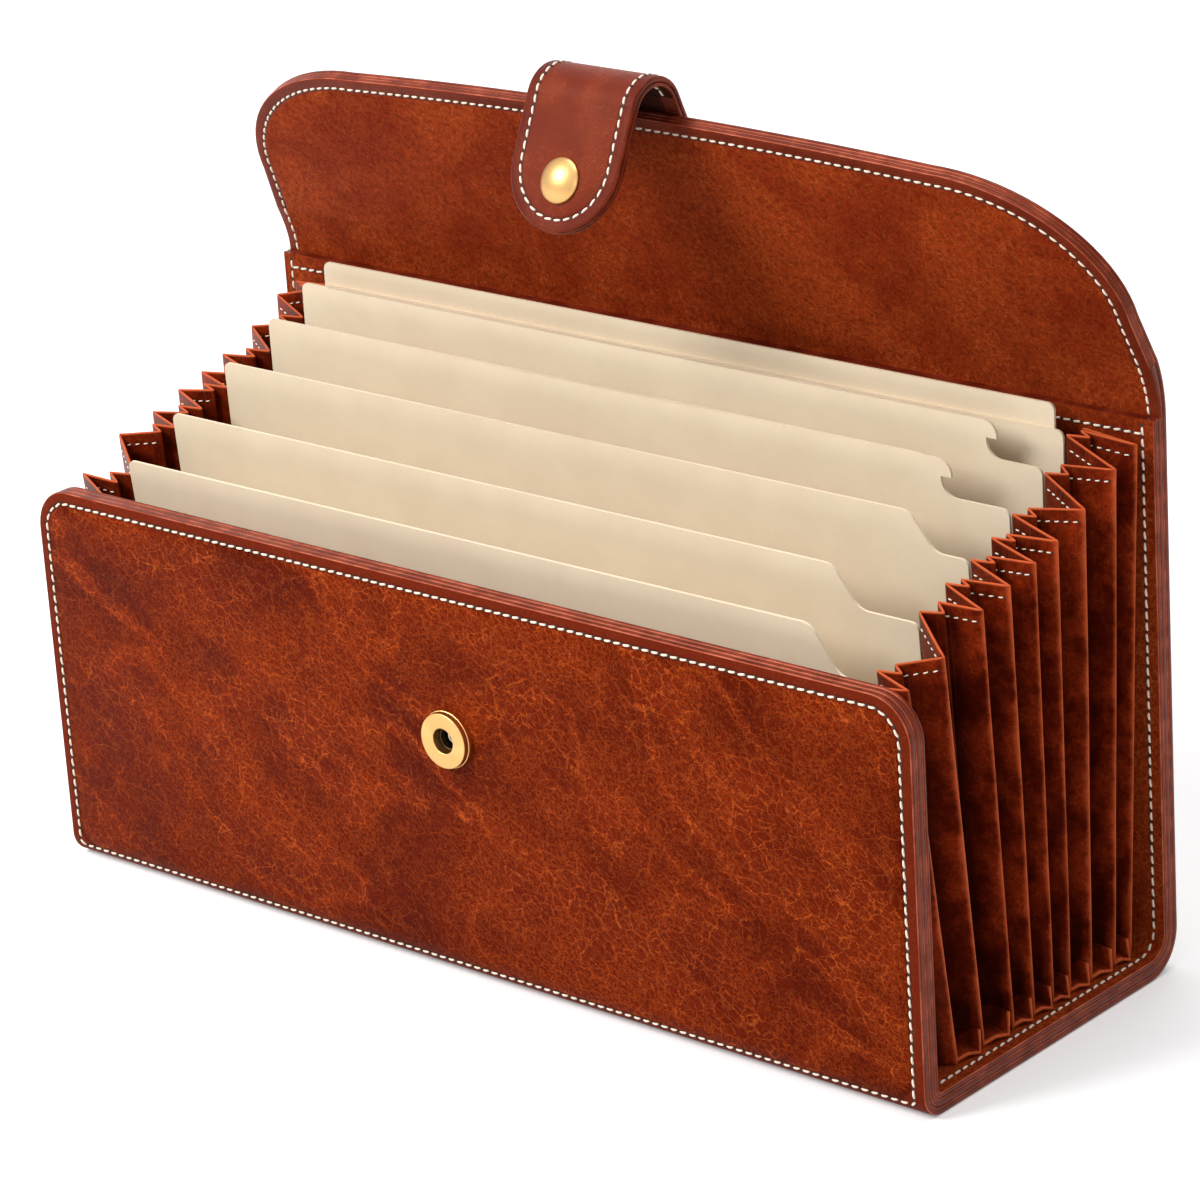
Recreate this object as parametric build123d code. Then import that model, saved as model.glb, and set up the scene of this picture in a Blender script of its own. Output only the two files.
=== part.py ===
from build123d import *
import math
import os

# An expanding file folder: stitched leather covers, pleated bellows ends, card dividers,
# and a flap that closes with a strap and a press snap.
# X runs along the width, the front cover faces -Y, +Z is up.
# The origin is on the underside of the base, midway along and midway deep.

# Overall sizes
cover_width = 275.0
front_height = 101.0
back_height = 137.5
body_depth = 99.0

# Layers of the covers and base, from the outside in
leather_wall = 2.0
core_wall = 2.0
lining_wall = 1.4
front_bend = 6.4
back_bend = 11.0
cover_corner = 11.0

# Pleated ends
ridge_inset = 6.5
pleat_depth = 13.0
gusset_wall = 0.8
foot_gather = 10.6
heel_gather = 3.4
ridge_drop = 1.6
rim_drop = 4.5
floor_gap = 0.3
spare_fold_shares = (0.398, 0.596)

# Card dividers, each standing in an inner fold of the pleats
divider_fold_shares = (0.109, 0.290, 0.506, 0.687, 0.834, 0.930)
card_wall = 0.7
card_gap = 1.0
card_lift = 0.6
card_corner = 2.0
tab_rise = 9.5
tab_corner = 4.5
step_run = 7.0
step_round = 5.0
hook_drop = 4.2
hook_bite = 3.0
leaf_step = 8.0
round_limit_share = 0.9
shoulder_shares = (0.695, 0.764, 0.829, 0.880, 0.924, 0.971)
tab_rise_shares = (1.25, 1.05, 0.95, 0.95, 0.95, 0.62)
tab_end_shares = (0.855, 0.800, 0.861, 0.863, 0.892, 0.975)

# Flap, measured up its slope from the hinge line
flap_length = 57.4
flap_lean = 23.0
flap_leather_wall = 1.6
flap_core_wall = 1.0
flap_lining_wall = 1.2
flap_side_inset = 1.5
flap_corner_width = 46.0
flap_corner_height = 35.0
flap_crown = 2.8
hinge_strip_length = 14.0

# Strap over the flap's edge
strap_width = 33.0
strap_leather_wall = 1.5
strap_lining_wall = 1.1
strap_anchor_length = 24.0
strap_anchor_corner = 9.0
strap_rise = 4.5
strap_bend_radius = 8.0
strap_turn = 132.0
strap_tongue_length = 32.0

# Press snap
snap_from_tip = 12.4
snap_height = 62.7
cap_radius = 5.25
cap_rim = 0.7
cap_dome = 2.0
shank_radius = 1.5
stud_flange_radius = 4.2
stud_flange_wall = 0.7
stud_neck_radius = 1.9
stud_bulb_radius = 2.3
stud_length = 2.9
ring_radius = 7.0
ring_hole_radius = 3.1
ring_wall = 2.0
ring_bevel = 0.5
eyelet_bore_radius = 2.5
eyelet_recess = 0.7
eyelet_flange_radius = 4.6
washer_radius = 5.6
washer_wall = 0.8
snap_clearance = 0.1

# Places worked out from the sizes above
cover_wall = leather_wall + core_wall + lining_wall
front_face = -body_depth / 2
back_face = body_depth / 2
front_inner = front_face + cover_wall
back_inner = back_face - cover_wall
clear_depth = back_inner - front_inner
ridge_x = cover_width / 2 - ridge_inset
valley_x = ridge_x - pleat_depth
hinge_wall = flap_leather_wall + flap_lining_wall
strap_wall = strap_leather_wall + strap_lining_wall
lean = math.radians(flap_lean)
turn = math.radians(strap_turn)
hinge_radius = hinge_strip_length / lean
hinge_reach = hinge_radius * math.tan(lean / 2)
hinge_y = back_face - hinge_wall / 2
hinge_z = back_height + hinge_reach
divider_half_width = valley_x - card_gap

front_plane = Plane((0, front_face, 0), x_dir=(0, 1, 0), z_dir=(1, 0, 0))
back_plane = Plane((0, back_face, 0), x_dir=(0, -1, 0), z_dir=(-1, 0, 0))
flap_plane = Plane(
    (0, hinge_y, hinge_z),
    x_dir=(1, 0, 0),
    z_dir=(0, -math.cos(lean), -math.sin(lean)),
)


def cover_layer(plane, outer, wall, bend, top):
    """One layer of a cover: an upright sheet that turns under at the bottom in a quarter bend."""
    inner = outer + wall
    with BuildSketch() as section:
        with BuildLine():
            Line((outer, top), (outer, bend))
            CenterArc((bend, bend), bend - outer, 180, 90)
            Line((bend, outer), (bend, inner))
            CenterArc((bend, bend), bend - inner, 180, 90)
            Line((inner, bend), (inner, top))
            Line((inner, top), (outer, top))
        make_face()
    return extrude(plane * section.sketch, amount=cover_width / 2, both=True)


def round_top_corners(layer):
    corners = layer.edges().filter_by(Axis.Y).group_by(Axis.Z)[-1]
    return fillet(corners, cover_corner)


def snap_drill(plane, height, radius):
    """A cutter along a cover's thickness, centred on the width."""
    reach = 2 * cover_wall
    hole = Location((0, plane.origin.Y, height), (90, 0, 0)) * Cylinder(radius, 2 * reach)
    return hole


def make_covers():
    pieces = {}
    offset = 0.0
    for name, wall in (("leather", leather_wall), ("core", core_wall), ("lining", lining_wall)):
        front = cover_layer(front_plane, offset, wall, front_bend, front_height)
        front = round_top_corners(front)
        front -= snap_drill(front_plane, snap_height, ring_hole_radius)
        pieces["front_cover_" + name] = front
        pieces["back_cover_" + name] = cover_layer(back_plane, offset, wall, back_bend, back_height)
        offset += wall
    return pieces


def make_base():
    """The flat base between the two bends, in the same three layers."""
    length = body_depth - front_bend - back_bend
    middle = (front_face + front_bend + back_face - back_bend) / 2
    pieces = {}
    level = 0.0
    for name, wall in (("leather", leather_wall), ("filler", core_wall), ("lining", lining_wall)):
        sheet = Box(cover_width, length, wall, align=(Align.CENTER, Align.CENTER, Align.MIN))
        pieces["base_" + name] = Pos(0, middle, level) * sheet
        level += wall
    return pieces


def gathered(depth):
    """Depth behind the front lining at floor level for a fold that lies at this depth at its top."""
    return foot_gather + depth * (1 - (foot_gather + heel_gather) / clear_depth)


def inner_folds():
    """Depth and rim height of each inner fold: a divider's shoulder, or midway where no divider stands."""
    heights = {fold: share * back_height for fold, share in zip(divider_fold_shares, shoulder_shares)}
    for fold in spare_fold_shares:
        before = max(share for share in divider_fold_shares if share < fold)
        behind = min(share for share in divider_fold_shares if share > fold)
        heights[fold] = (heights[before] + heights[behind]) / 2
    return [(fold * clear_depth, height) for fold, height in sorted(heights.items())]


def pleat_rows():
    """Depth, rim height and kind of every fold from the front cover to the back cover."""
    folds = [(0.0, front_height - rim_drop)] + inner_folds() + [(clear_depth, back_height - rim_drop)]
    rows = [(*folds[0], "end")]
    for (near_depth, near_height), (far_depth, far_height) in zip(folds, folds[1:]):
        ridge_height = (near_height + far_height) / 2 - ridge_drop
        rows.append(((near_depth + far_depth) / 2, ridge_height, "ridge"))
        rows.append((far_depth, far_height, "end" if far_depth == clear_depth else "valley"))
    return rows


def floor_level(y):
    """Height of the lining inside the folder at a place in Y: on the floor, or up the bend at either end."""
    into_front = front_face + front_bend - y
    into_back = y - back_face + back_bend
    into_bend, bend = (into_front, front_bend) if into_front > into_back else (into_back, back_bend)
    if into_bend <= 0:
        return cover_wall
    radius = bend - cover_wall
    return bend - math.sqrt(max(radius**2 - into_bend**2, 0))


def make_bellows(side):
    """One pleated end: flat panels from fold to fold, gathered at the foot, stepping up to the back."""
    half_wall = gusset_wall / 2
    feet, rims = [], []
    for depth, height, kind in pleat_rows():
        x = side * (ridge_x if kind == "ridge" else valley_x)
        inside = min(max(depth, half_wall), clear_depth - half_wall)
        foot_y = front_inner + (inside if kind == "end" else gathered(depth))
        foot_z = max(floor_level(foot_y - half_wall), floor_level(foot_y + half_wall)) + floor_gap
        feet.append(Vector(x, foot_y, foot_z))
        rims.append(Vector(x, front_inner + inside, height))
    thick = Vector(0, half_wall, 0)

    def panel_end(near, far):
        return make_face(Polyline(near - thick, far - thick, far + thick, near + thick, close=True))

    panels = []
    for near in range(len(feet) - 1):
        far = near + 1
        panels.append(loft([panel_end(feet[near], feet[far]), panel_end(rims[near], rims[far])], ruled=True))
    for near in range(0, len(feet) - 2, 2):
        tuck = make_face(Polyline(*feet[near:near + 3], close=True))
        panels.append(extrude(tuck, amount=gusset_wall, dir=(0, 0, 1)))
    return panels[0] + panels[1:]


def corner_near(face, x, y):
    """The outline's corner that lies at a point."""
    return face.vertices().sort_by_distance((x, y, 0))[0]


def divider_face(left, shoulder, rise, tab_end, hooked):
    """A divider's outline: square card with a raised tab that steps down to a shoulder on the right."""
    right = divider_half_width
    top = shoulder + rise
    outline = [(left, 0), (right, 0), (right, shoulder)]
    if hooked:
        notch = tab_end - hook_bite
        ledge = top - hook_drop
        outline += [(notch, shoulder), (notch, ledge), (tab_end, ledge), (tab_end, top)]
        inner_corner = (notch, shoulder)
        inner_round = min(step_round, (ledge - shoulder) * round_limit_share)
    else:
        outline += [(tab_end + step_run, shoulder), (tab_end, top)]
        inner_corner = (tab_end + step_run, shoulder)
        inner_round = step_round
    outline += [(left, top)]
    face = make_face(Polyline(*outline, close=True))
    face = fillet(corner_near(face, *inner_corner), inner_round)
    tab_round = min(tab_corner, hook_drop * round_limit_share) if hooked else tab_corner
    face = fillet(corner_near(face, tab_end, top), tab_round)
    face = fillet(corner_near(face, left, top), card_corner)
    return fillet(corner_near(face, right, shoulder), card_corner)


def plain_leaf(right, height):
    """A plain card with rounded top corners, from the left end to the given place."""
    left = -divider_half_width
    face = make_face(Polyline((left, 0), (right, 0), (right, height), (left, height), close=True))
    for x in (left, right):
        face = fillet(corner_near(face, x, height), card_corner)
    return face


def make_dividers():
    pieces = {}
    foot_z = cover_wall + card_lift
    rows = zip(divider_fold_shares, shoulder_shares, tab_rise_shares, tab_end_shares)
    last = len(divider_fold_shares) - 1
    for number, (fold_share, shoulder_share, rise_share, end_share) in enumerate(rows):
        depth = fold_share * clear_depth
        foot_y = front_inner + gathered(depth)
        rise_z = shoulder_share * back_height - foot_z
        run_y = front_inner + depth - foot_y
        slope_length = math.hypot(run_y, rise_z)
        card_plane = Plane((0, foot_y, foot_z), x_dir=(1, 0, 0), z_dir=(0, -rise_z, run_y))
        rear_plane = card_plane.offset(-card_wall)
        rise = rise_share * tab_rise
        tab_end = end_share * divider_half_width
        name = "divider_" + str(number + 1)
        hooked = number in (last - 2, last - 1)
        if number == last:
            front_leaf = plain_leaf(divider_half_width, slope_length)
            rear_leaf = plain_leaf(tab_end, slope_length + rise)
        elif hooked:
            front_leaf = divider_face(leaf_step - divider_half_width, slope_length, rise, tab_end, hooked)
            rear_leaf = plain_leaf(tab_end - leaf_step, slope_length + rise)
        else:
            front_leaf = divider_face(-divider_half_width, slope_length, rise, tab_end, hooked)
            rear_leaf = None
        pieces[name] = extrude(card_plane * front_leaf, amount=card_wall / 2, both=True)
        if rear_leaf is not None:
            pieces[name + "_backing"] = extrude(rear_plane * rear_leaf, amount=card_wall / 2, both=True)
    return pieces


def flap_face():
    """The flap's outline on its own plane: square at the hinge, broad rounded corners, crowned edge."""
    half = cover_width / 2 - flap_side_inset
    flat = half - flap_corner_width
    brow = flap_length - flap_crown
    spring = brow - flap_corner_height
    with BuildSketch() as outline:
        with BuildLine():
            Line((-half, hinge_reach), (half, hinge_reach))
            Line((half, hinge_reach), (half, spring))
            EllipticalCenterArc((flat, spring), flap_corner_width, flap_corner_height, 0, arc_size=90)
            ThreePointArc((flat, brow), (0, flap_length), (-flat, brow))
            EllipticalCenterArc((-flat, spring), flap_corner_width, flap_corner_height, 90, arc_size=90)
            Line((-half, spring), (-half, hinge_reach))
        make_face()
    return outline.sketch


def bent_strip(plane, radius, wall, angle, width):
    """A strip of even wall bent round an arc that starts on the plane's own X axis."""
    outer = radius + wall / 2
    inner = radius - wall / 2
    far_end = Vector(math.cos(math.radians(angle)), math.sin(math.radians(angle)))
    with BuildSketch() as section:
        with BuildLine():
            CenterArc((0, 0), outer, 0, angle)
            CenterArc((0, 0), inner, 0, angle)
            Line((inner, 0), (outer, 0))
            Line(far_end * inner, far_end * outer)
        make_face()
    return extrude(plane * section.sketch, amount=width / 2, both=True)


def make_flap():
    """Three flat layers of the flap, and the bent strip that hinges it to the back cover."""
    layers = (("leather", flap_leather_wall), ("core", flap_core_wall), ("lining", flap_lining_wall))
    pieces = {}
    level = -hinge_wall / 2
    for name, wall in layers:
        pieces["flap_" + name] = extrude(flap_plane.offset(level) * flap_face(), amount=wall)
        level += wall
    strip_plane = Plane((0, hinge_y - hinge_radius, back_height), x_dir=(0, 1, 0), z_dir=(1, 0, 0))
    strip_width = cover_width - 2 * flap_side_inset
    pieces["flap_hinge"] = bent_strip(strip_plane, hinge_radius, hinge_wall, flap_lean, strip_width)
    return pieces


def strap_line(along, across):
    """A point on the flap's side section, as a place in the folder's frame."""
    return flap_plane.origin + flap_plane.y_dir * along + flap_plane.z_dir * across


def make_strap():
    """Strap: an anchor sewn behind the flap, a bend over its edge and a round-ended tongue."""
    pieces = {}
    rear = -hinge_wall / 2 - strap_wall
    bend_start = flap_length + strap_rise
    anchor_low = flap_length - strap_anchor_length
    half = strap_width / 2
    corners = [(-half, anchor_low), (half, anchor_low), (half, bend_start), (-half, bend_start)]
    anchor = make_face(Polyline(*corners, close=True))
    for corner in corners[:2]:
        anchor = fillet(corner_near(anchor, *corner), strap_anchor_corner)
    pieces["strap_anchor"] = extrude(flap_plane.offset(rear) * anchor, amount=strap_wall)

    middle = rear + strap_wall / 2
    centre = strap_line(bend_start, middle + strap_bend_radius)
    bend_plane = Plane(centre, x_dir=-flap_plane.z_dir, z_dir=(1, 0, 0))
    pieces["strap_bend"] = bent_strip(bend_plane, strap_bend_radius, strap_wall, strap_turn, strap_width)

    outward = bend_plane.x_dir * math.cos(turn) + bend_plane.y_dir * math.sin(turn)
    tongue_top = centre + outward * strap_bend_radius
    tongue_plane = Plane(tongue_top, x_dir=(1, 0, 0), z_dir=outward)
    tip = -strap_tongue_length
    shoulder = tip + half
    with BuildSketch() as tongue:
        with BuildLine():
            Line((-half, 0), (half, 0))
            Line((half, 0), (half, shoulder))
            CenterArc((0, shoulder), half, 0, -180)
            Line((-half, shoulder), (-half, 0))
        make_face()
        with Locations((0, tip + snap_from_tip)):
            Circle(shank_radius, mode=Mode.SUBTRACT)
    lining_level = -strap_wall / 2
    leather_level = lining_level + strap_lining_wall
    lining_plane = tongue_plane.offset(lining_level)
    leather_plane = tongue_plane.offset(leather_level)
    pieces["strap_lining"] = extrude(lining_plane * tongue.sketch, amount=strap_lining_wall)
    pieces["strap_leather"] = extrude(leather_plane * tongue.sketch, amount=strap_leather_wall)

    snap_at = tongue_plane.origin + tongue_plane.y_dir * (tip + snap_from_tip)
    snap_plane = Plane(snap_at, x_dir=(1, 0, 0), z_dir=outward)
    pieces["snap_cap"] = snap_plane.offset(strap_wall / 2) * make_cap()
    pieces["snap_stud"] = snap_plane.offset(-strap_wall / 2) * make_stud()
    return pieces


def turned(profile):
    """A piece turned about the Z axis from a section drawn in the XZ plane."""
    return revolve(Plane.XZ * profile, axis=Axis.Z)


def make_cap():
    """Domed cap with the shank that passes through the strap to the stud."""
    shank_end = -strap_wall - stud_flange_wall
    with BuildSketch() as profile:
        with BuildLine():
            Line((0, shank_end), (shank_radius - snap_clearance, shank_end))
            Line((shank_radius - snap_clearance, shank_end), (shank_radius - snap_clearance, 0))
            Line((shank_radius - snap_clearance, 0), (cap_radius, 0))
            Line((cap_radius, 0), (cap_radius, cap_rim))
            dome_radius = (cap_radius**2 + cap_dome**2) / (2 * cap_dome)
            RadiusArc((cap_radius, cap_rim), (0, cap_rim + cap_dome), -dome_radius)
            Line((0, cap_rim + cap_dome), (0, shank_end))
        make_face()
    return turned(profile.sketch)


def make_stud():
    """Stud on the strap's underside: a flange, a neck and the bulb that presses into the socket."""
    bulb_low = -stud_length
    neck_low = -stud_flange_wall - (stud_length - stud_flange_wall) / 2
    with BuildSketch() as profile:
        with BuildLine():
            Polyline(
                (shank_radius, 0),
                (stud_flange_radius, 0),
                (stud_flange_radius, -stud_flange_wall),
                (stud_neck_radius, -stud_flange_wall),
                (stud_neck_radius, neck_low + (stud_bulb_radius - stud_neck_radius)),
                (stud_bulb_radius, neck_low),
                (stud_neck_radius, bulb_low),
                (0, bulb_low),
                (0, -stud_flange_wall),
                (shank_radius, -stud_flange_wall),
                close=True,
            )
        make_face()
    return turned(profile.sketch)


def make_socket():
    """Socket on the front cover: a face ring, an eyelet through the cover and a washer inside."""
    with BuildSketch() as ring:
        with Locations((ring_hole_radius, 0)):
            Rectangle(ring_radius - ring_hole_radius, ring_wall, align=(Align.MIN, Align.MIN))
        chamfer(ring.vertices().group_by(Axis.Y)[-1], ring_bevel)
    tube = ring_hole_radius - snap_clearance
    face = ring_wall - eyelet_recess
    inside = -cover_wall - washer_wall
    flange = inside - stud_flange_wall
    with BuildSketch() as eyelet:
        with BuildLine():
            Polyline(
                (eyelet_bore_radius, face),
                (tube, face),
                (tube, inside),
                (eyelet_flange_radius, inside),
                (eyelet_flange_radius, flange),
                (eyelet_bore_radius, flange),
                close=True,
            )
        make_face()
    washer = Rectangle(washer_radius - ring_hole_radius, washer_wall, align=(Align.MIN, Align.MIN))
    snap_plane = Plane((0, front_face, snap_height), x_dir=(1, 0, 0), z_dir=(0, -1, 0))
    return {
        "snap_socket_ring": snap_plane * turned(ring.sketch),
        "snap_socket_eyelet": snap_plane * turned(eyelet.sketch),
        "snap_socket_washer": snap_plane * turned(Pos(ring_hole_radius, inside) * washer),
    }


nodes = {}
nodes.update(make_covers())
nodes.update(make_base())
nodes.update({"gusset_left": make_bellows(-1), "gusset_right": make_bellows(1)})
nodes.update(make_dividers())
nodes.update(make_flap())
nodes.update(make_strap())
nodes.update(make_socket())

os.makedirs("parts", exist_ok=True)
for node_name, shape in nodes.items():
    export_step(shape, "parts/" + node_name + ".step")
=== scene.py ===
import bmesh
import bpy
import math
import random
from mathutils import Matrix, Vector, noise


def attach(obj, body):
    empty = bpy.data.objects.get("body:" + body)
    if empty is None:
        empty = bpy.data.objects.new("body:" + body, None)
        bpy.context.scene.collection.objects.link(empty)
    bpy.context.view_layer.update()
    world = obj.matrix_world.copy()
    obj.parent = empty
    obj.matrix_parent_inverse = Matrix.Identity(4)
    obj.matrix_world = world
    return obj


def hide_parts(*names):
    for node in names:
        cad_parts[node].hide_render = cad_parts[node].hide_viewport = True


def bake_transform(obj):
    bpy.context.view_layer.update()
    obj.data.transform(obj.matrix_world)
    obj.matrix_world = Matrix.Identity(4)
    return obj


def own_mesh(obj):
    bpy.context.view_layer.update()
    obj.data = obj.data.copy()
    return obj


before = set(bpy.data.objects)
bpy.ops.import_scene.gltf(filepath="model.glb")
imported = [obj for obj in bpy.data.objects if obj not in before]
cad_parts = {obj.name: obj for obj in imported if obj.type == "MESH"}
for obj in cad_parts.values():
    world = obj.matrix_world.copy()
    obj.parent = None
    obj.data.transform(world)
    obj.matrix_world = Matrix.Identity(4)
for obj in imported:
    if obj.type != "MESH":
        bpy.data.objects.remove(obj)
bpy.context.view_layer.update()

# Sizes in metres: those of the solids, and of the seams that are sewn on them
MM = 0.001
HALF_WIDTH = 0.1375
FRONT_Y, BACK_Y = -0.0495, 0.0495
FRONT_TOP, BACK_TOP = 0.101, 0.1375
LEATHER, BOARD, LINING = 0.0020, 0.0020, 0.0014
WALL = LEATHER + BOARD + LINING
FRONT_BEND, BACK_BEND = 0.0064, 0.0110
FRONT_IN, BACK_IN = FRONT_Y + WALL, BACK_Y - WALL
CLEAR = BACK_IN - FRONT_IN
COVER_CORNER = 0.011
SEAM_IN, SEAM_LOW = 0.0031, 0.0036
SEAM_CORNER = COVER_CORNER - SEAM_IN
EDGE_X = HALF_WIDTH - SEAM_IN
STITCH_PITCH = 0.0028
THREAD_SUNK = 0.00012

LEAN = math.radians(23)
FLAP_HALF, FLAP_LENGTH, FLAP_CROWN = 0.136, 0.0574, 0.0028
FLAP_CORNER_X, FLAP_CORNER_Y = 0.046, 0.035
FLAP_BROW, FLAP_FLAT = FLAP_LENGTH - FLAP_CROWN, FLAP_HALF - FLAP_CORNER_X
FLAP_LEATHER, FLAP_BOARD, FLAP_LINING = 0.0016, 0.0010, 0.0012
HINGE_WALL = FLAP_LEATHER + FLAP_LINING
HINGE_RADIUS = 0.014 / LEAN
HINGE_INSIDE, HINGE_OUTSIDE = HINGE_RADIUS - HINGE_WALL / 2, HINGE_RADIUS + HINGE_WALL / 2
HINGE_REACH = HINGE_RADIUS * math.tan(LEAN / 2)
PIVOT = Vector((0, BACK_Y - HINGE_WALL / 2, BACK_TOP + HINGE_REACH))
HINGE_CENTRE = Vector((0, PIVOT.y - HINGE_RADIUS, BACK_TOP))
FLAP_X, BACKWARD, UPWARD = Vector((1, 0, 0)), Vector((0, 1, 0)), Vector((0, 0, 1))
FLAP_UP = Vector((0, -math.sin(LEAN), math.cos(LEAN)))
FLAP_IN = Vector((0, -math.cos(LEAN), -math.sin(LEAN)))

STRAP_HALF = 0.0165
STRAP_LEATHER, STRAP_LINING = 0.0015, 0.0011
STRAP_WALL = STRAP_LEATHER + STRAP_LINING
STRAP_BEND, STRAP_TURN = 0.008, math.radians(132)
STRAP_RISE, STRAP_TONGUE, STRAP_ANCHOR = 0.0045, 0.032, 0.024
STRAP_BACK = -HINGE_WALL / 2 - STRAP_WALL
ANCHOR_CORNER, ANCHOR_SEAM_CORNER = 0.009, 0.006
NEARLY_ROUND = 0.999
SNAP_FROM_TIP, SNAP_Z, SNAP_BORE = 0.0124, 0.0627, 0.0030

RIDGE_X, VALLEY_X = 0.131, 0.118
FOLDS = (0.109, 0.290, 0.398, 0.506, 0.596, 0.687, 0.834, 0.930)
FOLD_TOPS = (0.0956, 0.1051, 0.1095, 0.1140, 0.1175, 0.1210, 0.1271, 0.1335)
FOOT_GATHER, HEEL_GATHER = 0.0106, 0.0034
BASE_FRONT, BASE_BACK = FRONT_Y + FRONT_BEND, BACK_Y - BACK_BEND


def frame_of(origin, x_dir, z_dir):
    """A place with its own X along x_dir and Z along z_dir."""
    x, z = Vector(x_dir).normalized(), Vector(z_dir).normalized()
    place = Matrix((x, z.cross(x), z)).transposed().to_4x4()
    place.translation = origin
    return place


FLAP = frame_of(PIVOT, FLAP_X, FLAP_IN)
BEND_CENTRE = FLAP @ Vector((0, FLAP_LENGTH + STRAP_RISE, STRAP_BACK + STRAP_WALL / 2 + STRAP_BEND))
TONGUE_OUT = (-FLAP_IN) * math.cos(STRAP_TURN) + FLAP_UP * math.sin(STRAP_TURN)
TONGUE = frame_of(BEND_CENTRE + TONGUE_OUT * STRAP_BEND, FLAP_X, TONGUE_OUT)
SOCKET = frame_of(Vector((0, FRONT_Y, SNAP_Z)), (1, 0, 0), (0, -1, 0))
CAP = TONGUE @ Matrix.Translation((0, SNAP_FROM_TIP - STRAP_TONGUE, STRAP_WALL / 2))


# Materials

SMOOTH = {"interpolation_type": "SMOOTHSTEP"}
COLOUR = {"data_type": "RGBA"}
TIMES = {"operation": "MULTIPLY"}
MINUS = {"operation": "SUBTRACT"}
LARGER = {"operation": "MAXIMUM"}
SMALLER = {"operation": "MINIMUM"}
SIZE = {"operation": "ABSOLUTE"}
STREAK_SLOPE = (0, math.radians(29), 0)


def hue(code):
    """An sRGB hex colour as the linear one that shaders use."""
    parts = [int(code[i:i + 2], 16) / 255 for i in (1, 3, 5)]
    return [c / 12.92 if c <= 0.04045 else ((c + 0.055) / 1.055) ** 2.4 for c in parts] + [1.0]


def per(mm):
    """Texture scale at which one feature spans this many millimetres."""
    return 1000.0 / mm


def wire(tree, target, inputs):
    """Links or sets the inputs of a node, by name or number."""
    for key, value in inputs.items():
        if isinstance(value, bpy.types.NodeSocket):
            tree.links.new(value, target.inputs[key])
        else:
            target.inputs[key].default_value = value


def node(tree, kind, *values, **settings):
    """Adds one shader node and gives back its first output. Values fill its inputs in turn, capitalised
    settings fill them by name, and the other settings are its options."""
    made = tree.nodes.new("ShaderNode" + kind)
    for key, value in settings.items():
        if key[0].islower():
            setattr(made, key, value)
    inputs = dict(zip([i for i, socket in enumerate(made.inputs) if socket.enabled], values))
    inputs.update({key: value for key, value in settings.items() if key[0].isupper()})
    wire(tree, made, inputs)
    return next(socket for socket in made.outputs if socket.enabled)


def new_material(name):
    """An empty material with its shader, and the piece's own coordinates."""
    made = bpy.data.materials.new(name)
    made.use_nodes = True
    tree = made.node_tree
    return made, tree, tree.nodes["Principled BSDF"], node(tree, "TexCoord").node.outputs["Object"]


def stirred(tree, place, mm, reach):
    """Coordinates pushed about by a soft noise, so that lines drawn on them wander."""
    wave = node(tree, "TexNoise", place, Scale=per(mm), Detail=4.0, Roughness=0.65).node.outputs["Color"]
    push = node(tree, "VectorMath", wave, (0.5, 0.5, 0.5), **MINUS)
    push = node(tree, "VectorMath", push, reach, operation="SCALE")
    return node(tree, "VectorMath", place, push)


def seam_distance(tree, place, half_x, low_z, high_z, radius):
    """Distance outside a rounded upright rectangle, in metres: the line that a seam follows."""
    axes = node(tree, "SeparateXYZ", place).node.outputs
    up = node(tree, "Math", axes["Z"], (low_z + high_z) / 2, **MINUS)
    past = [node(tree, "Math", node(tree, "Math", axis, **SIZE), half - radius, **MINUS)
            for axis, half in ((axes["X"], half_x), (up, (high_z - low_z) / 2))]
    corner = [node(tree, "Math", axis, 0.0, **LARGER) for axis in past]
    corner = node(tree, "VectorMath", node(tree, "CombineXYZ", *corner), operation="LENGTH")
    inside = node(tree, "Math", node(tree, "Math", *past, **LARGER), 0.0, **SMALLER)
    return node(tree, "Math", node(tree, "Math", corner, inside), radius, **MINUS)


def veins(tree, place, mm, width, detail):
    """Thin wandering lines, where a noise passes its middle value."""
    wave = node(tree, "TexNoise", place, Scale=per(mm), Detail=detail, Roughness=0.6, Distortion=0.5)
    off = node(tree, "Math", node(tree, "Math", wave, 0.5, **MINUS), **SIZE)
    return node(tree, "MapRange", off, 0.0, width, 1.0, 0.0, **SMOOTH)


def network(tree, place, mm, width):
    """Thin branching lines round cells of about this size, half as wide as given."""
    cells = node(tree, "TexVoronoi", place, Scale=per(mm), feature="DISTANCE_TO_EDGE")
    return node(tree, "MapRange", cells, 0.0, width / mm, 1.0, 0.0, **SMOOTH)


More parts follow.
